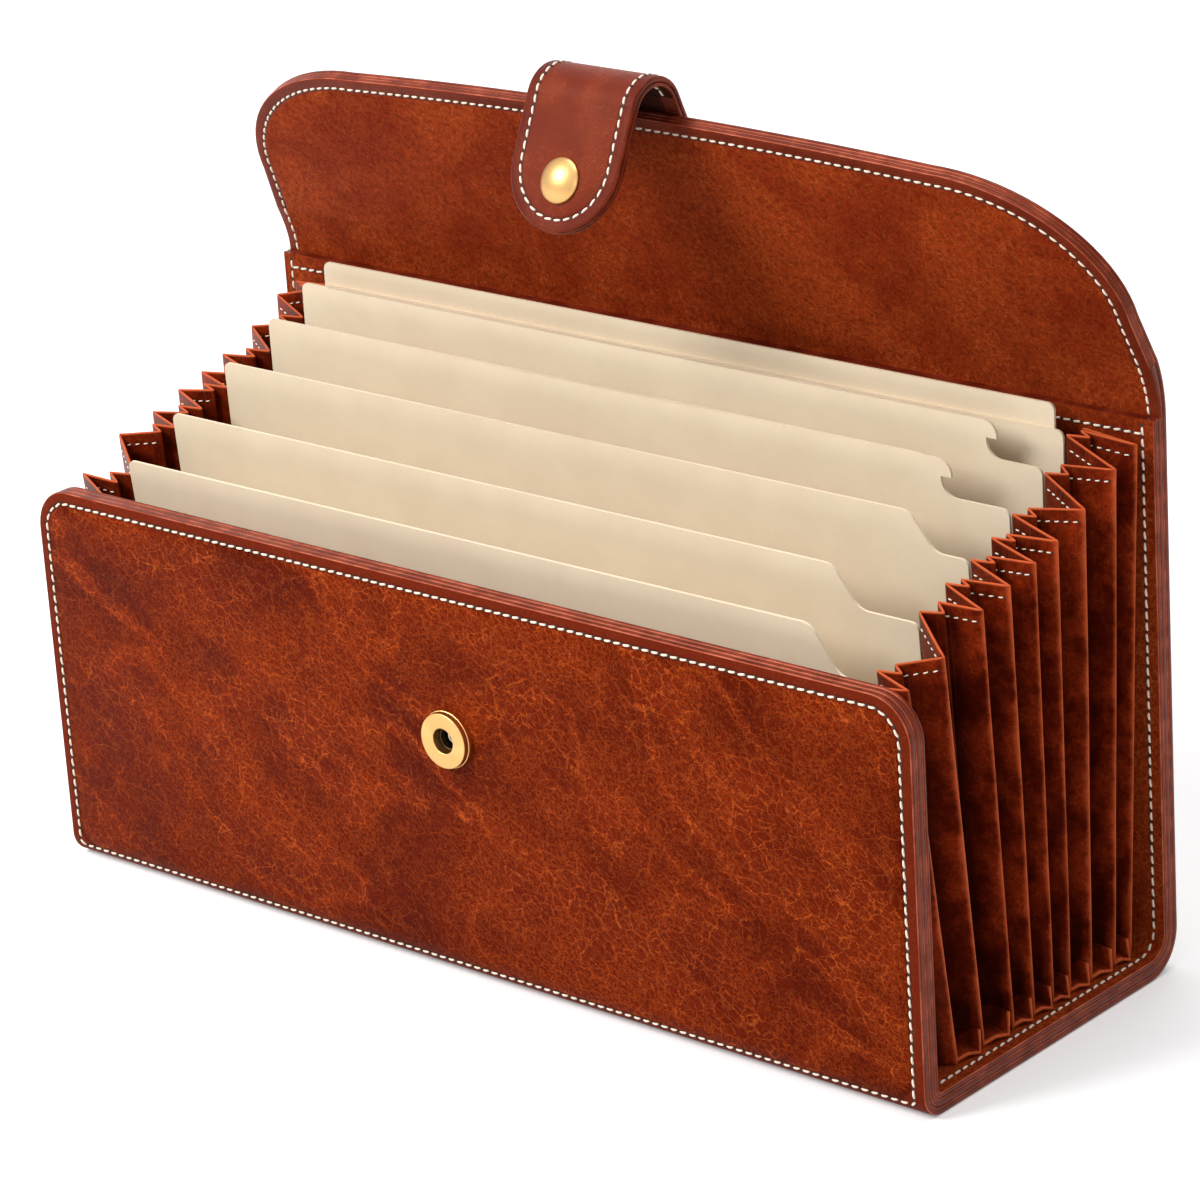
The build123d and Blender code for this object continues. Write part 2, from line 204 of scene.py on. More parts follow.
def pull_up_leather(name, seam):
    """Pull-up cowhide, waxed and rubbed: dark mottled red-brown, with paler orange lines where it creased."""
    made, tree, shader, place = new_material(name)
    slant = node(tree, "Mapping", place, Rotation=STREAK_SLOPE, Scale=(2.2, 1.0, 1.0), vector_type="TEXTURE")
    drawn = node(tree, "Mapping", place, Rotation=STREAK_SLOPE, Scale=(1.3, 1.0, 0.85), vector_type="TEXTURE")
    cloud = node(tree, "TexNoise", slant, Scale=per(46), Detail=5.0, Roughness=0.58)
    cloud = node(tree, "Math", node(tree, "MapRange", cloud, 0.38, 0.66, **SMOOTH), 0.75, **TIMES)
    band = node(tree, "TexNoise", slant, Scale=per(34), Detail=4.0, Distortion=0.6)
    band = node(tree, "Math", node(tree, "Math", band, 0.5, **MINUS), **SIZE)
    band = node(tree, "MapRange", band, 0.0, 0.055, 1.0, 0.0, **SMOOTH)
    streak = node(tree, "Math", cloud, band, **LARGER)
    mottle = node(tree, "TexNoise", place, Scale=per(22), Detail=6.0, Roughness=0.60)
    patch = node(tree, "MapRange", mottle, 0.40, 0.60, **SMOOTH)
    breaks = node(tree, "TexNoise", place, Scale=per(7), Detail=4.0)
    breaks = node(tree, "MapRange", breaks, 0.38, 0.58, **SMOOTH)
    grain = node(tree, "TexNoise", place, Scale=per(0.9), Detail=4.0, Roughness=0.65)

    # Creases of three sizes, strongest along the streaks, and a few hair lines
    wander = stirred(tree, drawn, 4.0, 0.0034)
    broad = node(tree, "MapRange", streak, 0.0, 1.0, 0.40, 1.0, **SMOOTH)
    broad = node(tree, "Math", breaks, broad, **TIMES)
    middle = node(tree, "MapRange", streak, 0.0, 1.0, 0.14, 0.85, **SMOOTH)
    narrow = node(tree, "MapRange", patch, 0.0, 1.0, 0.0, 0.45, **SMOOTH)
    lines = node(tree, "Math", veins(tree, drawn, 3.0, 0.016, 5.0), 0.40, **TIMES)
    for mm, width, share in ((6.0, 0.17, broad), (2.8, 0.12, middle), (1.4, 0.10, narrow)):
        net = node(tree, "Math", network(tree, wander, mm, width), share, **TIMES)
        lines = node(tree, "Math", lines, net, **LARGER)

    # The seam lies in a groove, painted darker as shade, with a smoother border outside it and the padded
    # field inside
    away = seam_distance(tree, place, *seam)
    groove = node(tree, "MapRange", node(tree, "Math", away, **SIZE), 0.0, 0.0011, 1.0, 0.0, **SMOOTH)
    border = node(tree, "MapRange", away, 0.0002, 0.0008, **SMOOTH)
    pad = node(tree, "MapRange", away, -0.0035, -0.0004, **SMOOTH)
    pits = node(tree, "MapRange", grain, 0.34, 0.58, 1.0, 0.0, **SMOOTH)
    share = node(tree, "MapRange", mottle, 0.25, 0.75, **SMOOTH)
    colour = node(tree, "Mix", share, hue("#4b1003"), hue("#651a06"), **COLOUR)
    # The groove's darker colour, last in this list, is painted shade
    for share, strength, over in ((streak, 0.50, "#862a0b"), (lines, 0.95, "#be551f"),
                                  (pits, 0.50, "#330a02"), (border, 0.82, "#66200e"),
                                  (groove, 0.62, "#3c0f05")):
        share = node(tree, "Math", share, strength, **TIMES)
        colour = node(tree, "Mix", share, colour, hue(over), **COLOUR)
    height = node(tree, "Math", grain, 0.6, **TIMES)
    for part, strength in ((lines, 0.5), (pad, -3.5), (groove, -2.0)):
        height = node(tree, "Math", height, node(tree, "Math", part, strength, **TIMES))
    wire(tree, shader, {
        "Base Color": colour,
        "Roughness": node(tree, "MapRange", mottle, 0.3, 0.7, 0.46, 0.60, **SMOOTH),
        "Normal": node(tree, "Bump", Strength=0.75, Distance=0.00026, Height=height),
        "Specular IOR Level": 0.04,
        "Specular Tint": hue("#cc4416")})
    return made


def split_leather(name):
    """Split cowhide lining, brushed: a matt face of short matted fibres over a mottled red-brown."""
    made, tree, shader, place = new_material(name)
    cloud = node(tree, "TexNoise", place, Scale=per(24), Detail=6.0, Roughness=0.66)
    fuzz = node(tree, "TexNoise", place, Scale=per(1.2), Detail=4.0, Roughness=0.7)
    fibres = network(tree, stirred(tree, place, 2.2, 0.0030), 2.3, 0.13)
    fibres = node(tree, "Math", fibres, node(tree, "MapRange", cloud, 0.36, 0.60, **SMOOTH), **TIMES)
    fibres = node(tree, "Math", fibres, 0.65, **TIMES)
    strands = node(tree, "Math", veins(tree, place, 1.8, 0.025, 6.0), 0.45, **TIMES)
    lines = node(tree, "Math", fibres, strands, **LARGER)
    pits = node(tree, "MapRange", fuzz, 0.36, 0.54, 0.5, 0.0, **SMOOTH)
    share = node(tree, "MapRange", cloud, 0.30, 0.70, **SMOOTH)
    colour = node(tree, "Mix", share, hue("#70200a"), hue("#8e3311"), **COLOUR)
    for share, over in ((lines, "#b85c2a"), (pits, "#431004")):
        colour = node(tree, "Mix", share, colour, hue(over), **COLOUR)
    height = node(tree, "Math", fuzz, lines)
    wire(tree, shader, {
        "Base Color": colour,
        "Roughness": node(tree, "MapRange", fuzz, 0.3, 0.7, 0.80, 0.68, **SMOOTH),
        "Normal": node(tree, "Bump", Strength=0.6, Distance=0.00026, Height=height),
        "Specular IOR Level": 0.08,
        "Specular Tint": hue("#d8754a")})
    return made


def smooth_leather(name, dark, light, crease, rough):
    """Finished cowhide, ironed smooth: an even colour with fine pores and a few shallow creases."""
    made, tree, shader, place = new_material(name)
    cloud = node(tree, "TexNoise", place, Scale=per(11), Detail=4.0)
    pores = node(tree, "TexNoise", place, Scale=per(0.7), Detail=3.0)
    creases = network(tree, stirred(tree, place, 2.0, 0.0022), 2.6, 0.10)
    creases = node(tree, "Math", creases, node(tree, "MapRange", cloud, 0.44, 0.62, **SMOOTH), **TIMES)
    share = node(tree, "MapRange", cloud, 0.32, 0.68, **SMOOTH)
    colour = node(tree, "Mix", share, hue(dark), hue(light), **COLOUR)
    colour = node(tree, "Mix", node(tree, "Math", creases, 0.7, **TIMES), colour, hue(crease), **COLOUR)
    height = node(tree, "Math", pores, creases, **MINUS)
    wire(tree, shader, {
        "Base Color": colour,
        "Roughness": node(tree, "MapRange", pores, 0.3, 0.7, rough - 0.05, rough + 0.07, **SMOOTH),
        "Normal": node(tree, "Bump", Strength=0.6, Distance=0.00018, Height=height),
        "Specular IOR Level": 0.18,
        "Specular Tint": hue("#dd8f72")})
    return made


def bellows_leather(name):
    """Thin skived cowhide, folded and creased: painted shade in its inner folds and at their feet, and paler
    outer folds and rim lips, partly rubbed wear and partly painted highlight.
    """
    made, tree, shader, place = new_material(name)
    fold, rim, foot = (node(tree, "Attribute", attribute_name=key).node.outputs["Fac"]
                       for key in ("fold", "rim", "foot"))
    cloud = node(tree, "TexNoise", place, Scale=per(9), Detail=6.0, Roughness=0.66)
    grain = node(tree, "TexNoise", place, Scale=per(0.9), Detail=4.0, Roughness=0.65)
    creases = network(tree, stirred(tree, place, 2.6, 0.0030), 3.6, 0.13)
    creases = node(tree, "Math", creases, node(tree, "MapRange", cloud, 0.42, 0.60, **SMOOTH), **TIMES)

    # How far out a fold stands, a little unevenly: it sets the painted shade of the inner folds and the paler
    # outer folds
    uneven = node(tree, "Math", node(tree, "Math", cloud, 0.5, **MINUS), 0.08, **TIMES)
    fold_out = node(tree, "Math", fold, uneven)
    # Paler outer folds and rim lip: partly rubbed wear, partly painted highlight
    ridge = node(tree, "MapRange", fold_out, 0.955, 1.0, **SMOOTH)
    lip = node(tree, "MapRange", rim, 0.0001, 0.0006, 1.0, 0.0, **SMOOTH)
    pale = node(tree, "Math", ridge, lip, **LARGER)
    # Painted shade: darkest deep in the inner folds, lighter towards the rim, and dark low down at the feet
    # of all but the outer folds
    fold_shade = node(tree, "MapRange", fold_out, 0.38, 0.97, 1.0, 0.0, **SMOOTH)
    fold_shade = node(tree, "Math", fold_shade, node(tree, "MapRange", rim, 0.003, 0.030, 0.45, 1.0, **SMOOTH), **TIMES)
    low = node(tree, "MapRange", foot, 0.004, 0.034, 1.0, 0.0, **SMOOTH)
    low = node(tree, "Math", low, node(tree, "MapRange", fold_out, 0.82, 1.0, 1.0, 0.0, **SMOOTH), **TIMES)
    fold_shade = node(tree, "Math", fold_shade, low, **LARGER)
    halfway = node(tree, "Math", node(tree, "Math", fold_out, 0.46, **MINUS), **SIZE)
    halfway = node(tree, "MapRange", halfway, 0.0, 0.025, 1.0, 0.0, **SMOOTH)
    pits = node(tree, "MapRange", grain, 0.36, 0.56, 1.0, 0.0, **SMOOTH)
    share = node(tree, "MapRange", cloud, 0.34, 0.66, **SMOOTH)
    colour = node(tree, "Mix", share, hue("#4d1004"), hue("#88290c"), **COLOUR)
    for share, strength, over in ((pits, 0.45, "#330b03"), (creases, 0.55, "#9a3d16"),
                                  (halfway, 0.30, "#923a18"), (fold_shade, 0.90, "#1c0401"),
                                  (pale, 0.90, "#c45a32")):
        share = node(tree, "Math", share, strength, **TIMES)
        colour = node(tree, "Mix", share, colour, hue(over), **COLOUR)
    height = node(tree, "Math", grain, node(tree, "Math", creases, halfway))
    wire(tree, shader, {
        "Base Color": colour,
        "Roughness": node(tree, "MapRange", cloud, 0.3, 0.7, 0.40, 0.54, **SMOOTH),
        "Normal": node(tree, "Bump", Strength=0.5, Distance=0.00016, Height=height),
        "Specular IOR Level": 0.26,
        "Specular Tint": hue("#e0663a")})
    return made


def painted_edge(name, dark, light):
    """Edge paint over cut leather: oxblood, thick and a little glossy, rubbed paler in places."""
    made, tree, shader, place = new_material(name)
    rub = node(tree, "TexNoise", place, Scale=per(6), Detail=4.0, Roughness=0.6)
    fine = node(tree, "TexNoise", place, Scale=per(0.6), Detail=2.0)
    share = node(tree, "MapRange", rub, 0.38, 0.68, **SMOOTH)
    wire(tree, shader, {
        "Base Color": node(tree, "Mix", share, hue(dark), hue(light), **COLOUR),
        "Roughness": node(tree, "MapRange", rub, 0.3, 0.7, 0.30, 0.42, **SMOOTH),
        "Normal": node(tree, "Bump", Strength=0.3, Distance=0.00008, Height=fine),
        "Specular IOR Level": 0.42,
        "Specular Tint": hue("#f09468")})
    return made


def waxed_thread(name):
    """Waxed linen thread: off-white, plied, with a soft waxy shine."""
    made, tree, shader, place = new_material(name)
    ply = node(tree, "TexNoise", place, Scale=per(0.5), Detail=2.0)
    wire(tree, shader, {
        "Base Color": node(tree, "Mix", ply, hue("#d9cab2"), hue("#f3e9d8"), **COLOUR),
        "Normal": node(tree, "Bump", Strength=0.4, Distance=0.00008, Height=ply),
        "Roughness": 0.55})
    return made


def needle_hole(name):
    """The awl hole between two stitches: bare leather in shadow."""
    made, tree, shader, place = new_material(name)
    shade = node(tree, "TexNoise", place, Scale=per(0.4))
    wire(tree, shader, {
        "Base Color": node(tree, "Mix", shade, hue("#240a04"), hue("#3a1208"), **COLOUR),
        "Roughness": 0.8})
    return made


def cream_card(name):
    """Uncoated cream card, calendered: matt and even, with a faint fibre cloud."""
    made, tree, shader, place = new_material(name)
    cloud = node(tree, "TexNoise", place, Scale=per(16), Detail=6.0, Roughness=0.6)
    fleck = node(tree, "TexNoise", place, Scale=per(0.7), Detail=4.0, Roughness=0.7)
    share = node(tree, "MapRange", cloud, 0.3, 0.7, **SMOOTH)
    colour = node(tree, "Mix", share, hue("#dbc9ae"), hue("#e0cfb4"), **COLOUR)
    share = node(tree, "MapRange", fleck, 0.3, 0.5, 0.10, 0.0, **SMOOTH)
    wire(tree, shader, {
        "Base Color": node(tree, "Mix", share, colour, hue("#cdb591"), **COLOUR),
        "Normal": node(tree, "Bump", Strength=0.15, Distance=0.00006, Height=fleck),
        "Roughness": 0.82,
        "Specular IOR Level": 0.25})
    return made


def turned_metal(name, colour, centre, axis, rough, lines, drawn=0.6):
    """Plated or solid metal, turned and brushed: fine rings round its axis, which spread each highlight."""
    made, tree, shader, place = new_material(name)
    local = node(tree, "VectorMath", place, tuple(centre), **MINUS)
    far = node(tree, "VectorMath", local, operation="LENGTH")
    rings = node(tree, "TexNoise", far, Scale=per(0.12), Detail=3.0, noise_dimensions="1D")
    wire(tree, shader, {
        "Base Color": hue(colour),
        "Metallic": 1.0,
        "Anisotropic": drawn,
        "Tangent": node(tree, "VectorMath", local, tuple(axis), operation="CROSS_PRODUCT"),
        "Roughness": node(tree, "MapRange", rings, 0.3, 0.7, rough - 0.04, rough + 0.04, **SMOOTH),
        "Normal": node(tree, "Bump", Strength=lines, Distance=0.00003, Height=rings)})
    return made


# Each seam as a rounded rectangle: half its width, its lower and upper edge, and its corner
FRONT_SEAM = (EDGE_X, SEAM_LOW, FRONT_TOP - SEAM_IN, SEAM_CORNER)
BACK_SEAM = (EDGE_X, SEAM_LOW, 0.30, 0.003)
front_hide = pull_up_leather("pull_up_leather_front", FRONT_SEAM)
back_hide = pull_up_leather("pull_up_leather_back", BACK_SEAM)
suede = split_leather("split_leather_lining")
border_hide = smooth_leather("turned_edge_leather", "#5c1c0c", "#6d2510", "#7c3016", 0.50)
strap_hide = smooth_leather("strap_leather", "#652415", "#742d1a", "#9a5132", 0.40)
strap_rim = smooth_leather("strap_border_leather", "#541a10", "#652617", "#803f29", 0.40)
# Nearly black: painted shade for the inside of the strap's loop
strap_back = smooth_leather("strap_lining_painted_shade", "#260b06", "#35120a", "#46190e", 0.60)
pleat_hide = bellows_leather("bellows_leather")
edge_paint = painted_edge("oxblood_edge_paint", "#541609", "#7a2c18")
# A paler copy of the edge paint, for the rounded brows of the edges: a painted highlight
edge_highlight_paint = painted_edge("painted_highlight_edge_paint", "#8a3a26", "#b0614a")
thread = waxed_thread("waxed_linen_thread")
hole_shade = needle_hole("needle_hole")
card = cream_card("cream_card")
ring_brass = turned_metal("satin_brass_ring", "#d6aa6c", SOCKET.translation, (0, 1, 0), 0.34, 0.3, 0.8)
cap_brass = turned_metal("satin_brass_cap", "#cfa468", CAP.translation, TONGUE_OUT, 0.38, 0.05, 0.0)
nickel = turned_metal("nickel_plate", "#c4c0b8", SOCKET.translation, (0, 1, 0), 0.25, 0.1)
# Dark metal for the eyelet: painted shade inside the snap's hole
eyelet_shade_metal = turned_metal("eyelet_painted_shade", "#4a3f30", SOCKET.translation, (0, 1, 0), 0.38, 0.1)


# Modelling by hand

SOFT_EDGE, SOFT_SHARE = 0.0006, 0.42
ABOVE_BENDS = 0.012
RIM_TILT = 0.72
BROW_TILT = (0.5, 0.87)


def rest():
    """Object mode with nothing selected."""
    if bpy.context.object and bpy.context.object.mode != "OBJECT":
        bpy.ops.object.mode_set(mode="OBJECT")
    bpy.ops.object.select_all(action="DESELECT")


def take(piece):
    """Object mode with this piece alone selected."""
    rest()
    piece.select_set(True)
    bpy.context.view_layer.objects.active = piece


def opened(piece):
    """Edit mode on one piece, with all of it selected."""
    take(piece)
    bpy.ops.object.mode_set(mode="EDIT")
    bpy.ops.mesh.select_all(action="SELECT")


def choose(piece, kind, test):
    """Selects the points, edges or faces that pass a test, in edit mode."""
    bpy.ops.mesh.select_mode(type=kind)
    bpy.ops.mesh.select_all(action="DESELECT")
    mesh = bmesh.from_edit_mesh(piece.data)
    mesh.normal_update()
    for part in {"VERT": mesh.verts, "EDGE": mesh.edges, "FACE": mesh.faces}[kind]:
        if test(part):
            part.select_set(True)
    mesh.select_flush_mode()
    bmesh.update_edit_mesh(piece.data)


def paint(piece, hide, test):
    """Gives the faces that pass a test another material."""
    rest()
    piece.data.materials.append(hide)
    number = len(piece.data.materials) - 1
    for face in piece.data.polygons:
        if test(face):
            face.material_index = number


def finished(piece, hide, body, *nodes, angle=40, slot=None):
    """Smooth shading, material, the body that the piece rides on and the solids that it stands for."""
    take(piece)
    bpy.ops.object.shade_smooth_by_angle(angle=math.radians(angle))
    piece.data.materials.clear()
    piece.data.materials.append(hide)
    if body:
        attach(piece, body)
    if nodes:
        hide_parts(*nodes)


def tidy(piece):
    """Merges doubled points and turns all faces outwards."""
    opened(piece)
    bpy.ops.mesh.remove_doubles(threshold=0.000005)
    bpy.ops.mesh.normals_make_consistent(inside=False)
    rest()


def put(piece, place):
    """Moves a piece drawn at the origin to its place, and leaves its object at the origin."""
    take(piece)
    piece.matrix_world = place
    bpy.ops.object.transform_apply()
    return piece


def block(name, low, high):
    """A block between two corners."""
    rest()
    size = [b - a for a, b in zip(low, high)]
    bpy.ops.mesh.primitive_cube_add(size=1, location=[(a + b) / 2 for a, b in zip(low, high)], scale=size)
    bpy.ops.object.transform_apply()
    bpy.context.object.name = name
    return bpy.context.object


def plane(name, middle, wide, long):
    """A flat rectangle, facing up."""
    rest()
    bpy.ops.mesh.primitive_plane_add(size=1, location=middle)
    piece = bpy.context.object
    piece.name = name
    piece.scale = (wide, long, 1)
    bpy.ops.object.transform_apply()
    return piece


def is_at(value, level):
    """Whether two lengths are the same, but for rounding."""
    return abs(value - level) < 0.00002


def eased(share):
    """A share of the way that starts and ends gently."""
    return share * share * (3 - 2 * share)


def soften(piece, radius, keep_sharp):
    """Rounds every sharp edge but those that a test keeps."""
    opened(piece)
    bpy.ops.mesh.select_mode(type="EDGE")
    bpy.ops.mesh.select_all(action="DESELECT")
    bpy.ops.mesh.edges_select_sharp(sharpness=math.radians(50))
    mesh = bmesh.from_edit_mesh(piece.data)
    for edge in mesh.edges:
        if edge.select and keep_sharp([v.co for v in edge.verts]):
            edge.select_set(False)
    bmesh.update_edit_mesh(piece.data)
    bpy.ops.mesh.bevel(offset=radius, segments=3, profile=0.5, affect="EDGES")
    rest()


def cover_layer(name, outer, inward, skip, wall, bend, top, corner):
    """One layer of a cover: an upright sheet, spun under at the bottom, with its upper corners rounded."""
    near = outer + inward * skip
    far = near + inward * wall
    end = outer + inward * bend
    piece = block(name, (-HALF_WIDTH, min(near, far), bend), (HALF_WIDTH, max(near, far), top))
    opened(piece)
    choose(piece, "FACE", lambda f: f.normal.z < -0.9)
    bpy.ops.mesh.spin(steps=10, angle=-inward * math.pi / 2, center=(0, end, bend), axis=(1, 0, 0))
    if corner:
        choose(piece, "EDGE", lambda e: is_at(e.verts[0].co.x, e.verts[1].co.x)
               and all(is_at(v.co.z, top) for v in e.verts))
        bpy.ops.mesh.bevel(offset=corner, segments=12, profile=0.5, affect="EDGES")
    tidy(piece)
    soften(piece, min(SOFT_EDGE, wall * SOFT_SHARE), lambda ends: all(is_at(p.y, end) for p in ends)
           or (not corner and all(is_at(p.z, top) for p in ends)))
    return piece


def bore(piece, radius):
    """Drills the snap's hole through a layer of the front cover."""
    rest()
    bpy.ops.mesh.primitive_cylinder_add(vertices=48, radius=radius, depth=0.04, location=SOCKET.translation,
                                        rotation=(math.pi / 2, 0, 0))
    drill = bpy.context.object
    cut = piece.modifiers.new("bore", "BOOLEAN")
    cut.object, cut.operation, cut.solver = drill, "DIFFERENCE", "EXACT"
    bpy.context.view_layer.objects.active = piece
    bpy.ops.object.modifier_apply(modifier=cut.name)
    bpy.data.objects.remove(drill)


def is_rim(face):
    """A face that looks sideways or up: the cut edge of a cover."""
    return abs(face.normal.y) < RIM_TILT and face.center.z > ABOVE_BENDS or abs(face.normal.x) > 0.6


def is_brow(face):
    """The rounded corner between a cover's rim and its faces, which gets a paler paint as a painted
    highlight.
    """
    upright = face.center.z > ABOVE_BENDS
    tilt = math.hypot(face.normal.x, face.normal.z) if upright else abs(face.normal.x)
    return BROW_TILT[0] < tilt < BROW_TILT[1]


skip = 0.0
for layer, wall, hide in (("leather", LEATHER, front_hide), ("core", BOARD, edge_paint),
                          ("lining", LINING, suede)):
    piece = cover_layer("front_" + layer, FRONT_Y, 1, skip, wall, FRONT_BEND, FRONT_TOP, COVER_CORNER)
    bore(piece, SNAP_BORE)
    finished(piece, hide, "front", "front_cover_" + layer)
    paint(piece, edge_paint, is_rim)
    # Paler paint on the rounded brows of the edges: a painted highlight
    paint(piece, edge_highlight_paint, is_brow)
    piece = cover_layer("back_" + layer, BACK_Y, -1, skip, wall, BACK_BEND, BACK_TOP, None)
    finished(piece, back_hide if layer == "leather" else hide, "back", "back_cover_" + layer)
    paint(piece, edge_paint, is_rim)
    # Paler paint on the rounded brows of the edges: a painted highlight
    paint(piece, edge_highlight_paint, is_brow)
    skip += wall

level = 0.0
for layer, wall, hide in (("leather", LEATHER, back_hide), ("filler", BOARD, edge_paint),
                          ("lining", LINING, suede)):
    piece = block("base_" + layer + "_sheet", (-HALF_WIDTH, BASE_FRONT, level),
                  (HALF_WIDTH, BASE_BACK, level + wall))
    soften(piece, min(SOFT_EDGE, wall * SOFT_SHARE), lambda ends: is_at(ends[0].y, ends[1].y))
    finished(piece, hide, "back", "base_" + layer)
    paint(piece, edge_paint, lambda face: abs(face.normal.x) > 0.35)
    # Paler paint on the rounded brows of the edges: a painted highlight
    paint(piece, edge_highlight_paint, lambda face: BROW_TILT[0] < abs(face.normal.x) < BROW_TILT[1])
    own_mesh(piece)
    level += wall


# Bellows

# How far the leather puckers up above a straight rim, by depth; the two ends differ a little
PUCKER = {1: ((0.0, 0.0028), (0.08, 0.0046), (0.22, 0.0046), (0.36, 0.0036), (0.50, 0.0010), (0.62, 0.0),
              (1.0, 0.0)),
          -1: ((0.0, 0.0030), (0.05, 0.0064), (0.22, 0.0074), (0.34, 0.0038), (0.46, 0.0024), (0.62, 0.0),
               (1.0, -0.0016))}
# Where an outer fold stands between its neighbours, and how far it spreads at the front and at the back
RIDGE_LEAN = {1: 0.38, -1: 0.62}
RIDGE_FLARE = {1: (-0.0008, 0.0046), -1: (0.0008, 0.0)}
# The small W in each inner fold: how far along, how far out, and its share of the way to an outer fold
CREASES = {1: ((-0.15, 0.0, 0.05), (0.0, 0.0062, 0.62), (0.35, 0.0028, 0.30)),
           -1: ((-0.35, 0.0028, 0.30), (0.0, 0.0078, 0.66), (0.15, 0.0, 0.05))}
RIM_DROP, RIDGE_DIP, FOOT_SPREAD, COVER_GAP = 0.0045, 0.0004, 0.0012, 0.0004
FRONT_FOOT, BACK_FOOT, FOLD_FOOT = 0.0067, 0.0113, WALL + 0.0003
PANEL_STEPS = (0.0, 0.07, 0.5, 0.93)
HEIGHT_STEPS = (0.0, 0.03, 0.10, 0.22, 0.36, 0.50, 0.64, 0.78, 0.90, 0.97, 0.992, 1.0)
# The points of a foot tuck in rows of three: out, share of the way to the next fold, up, and how far out it
# reads for the painted fold shade and highlight
TUCK = ((RIDGE_X + 0.0006, 0.02, 0.0005, 1.0), (RIDGE_X + 0.0018, 0.36, 0.0014, 1.0),
        (RIDGE_X + 0.0026, 0.70, 0.0006, 1.0), (RIDGE_X - 0.0060, 0.10, 0.0012, 0.6),
        (RIDGE_X - 0.0050, 0.42, 0.0022, 0.7), (RIDGE_X - 0.0040, 0.76, 0.0014, 0.6),
        (VALLEY_X + 0.0008, 0.20, 0.0016, 0.1), (VALLEY_X + 0.0012, 0.50, 0.0024, 0.1),
        (VALLEY_X + 0.0016, 0.82, 0.0016, 0.1), (RIDGE_X + 0.0010, 0.90, 0.0052, 1.0),
        (RIDGE_X - 0.0052, 0.94, 0.0056, 0.7), (VALLEY_X + 0.0024, 0.97, 0.0052, 0.2))
TUCK_FACES = ((0, 1, 4, 3), (1, 2, 5, 4), (3, 4, 7, 6), (4, 5, 8, 7), (2, 9, 10, 5), (5, 10, 11, 8))
TUCK_BELOW_RIM, TUCK_ABOVE_FOOT = 0.02, 0.016


def gathered(depth):
    """Where the foot of a fold stands: the feet are gathered closer than the rims."""
    return FOOT_GATHER + depth * (1 - (FOOT_GATHER + HEEL_GATHER) / CLEAR)


def between(steps, value):
    """A value read off a few (place, height) steps."""
    for (a, low), (b, high) in zip(steps, steps[1:]):
        if value <= b:
            return low + (high - low) * (value - a) / (b - a)
    return steps[-1][1]


def fold_lines(side):
    """Foot and rim of every main fold from front to back, with how far out it stands."""
    valleys = [(0.0, FRONT_TOP - RIM_DROP)] + [(s * CLEAR, h) for s, h in zip(FOLDS, FOLD_TOPS)]
    valleys += [(CLEAR, BACK_TOP - RIM_DROP)]
    lean = RIDGE_LEAN[side]
    rows = [(*valleys[0], 0.0)]
    for (before, low), (depth, height) in zip(valleys, valleys[1:]):
        rows.append((before + (depth - before) * lean, low + (height - low) * lean - RIDGE_DIP, 1.0))
        rows.append((depth, height, 0.0))
    lines = []
    for depth, height, out in rows:
        inside = min(max(depth, COVER_GAP), CLEAR - COVER_GAP)
        foot = inside if depth in (0.0, CLEAR) else gathered(depth)
        foot_z = {0.0: FRONT_FOOT, CLEAR: BACK_FOOT}.get(depth, FOLD_FOOT)
        x = VALLEY_X + out * (RIDGE_X - VALLEY_X)
        near, far = RIDGE_FLARE[side]
        flare = out * (near + (far - near) * depth / CLEAR)
        rim_z = height + between(PUCKER[side], depth / CLEAR)
        lines.append((Vector((x + FOOT_SPREAD * out, FRONT_IN + foot, foot_z)),
                      Vector((x + flare, FRONT_IN + inside, rim_z)), out))
    return lines


def pleat_lines(side):
    """The main folds, with each inner one creased into a small W, as the leather takes up its slack."""
    lines = []
    main = fold_lines(side)
    for number, (foot, rim, out) in enumerate(main):
        if out or number in (0, len(main) - 1):
            lines.append((foot, rim, out))
            continue
        before, after = main[number - 1], main[number + 1]
        for along, outward, share in CREASES[side]:
            foot_gap, rim_gap = ((after[i] - before[i]) / 2 * along for i in (0, 1))
            lines.append((foot + Vector((outward, foot_gap.y, 0)),
                          rim + Vector((outward, rim_gap.y, rim_gap.z)), share))
    return lines


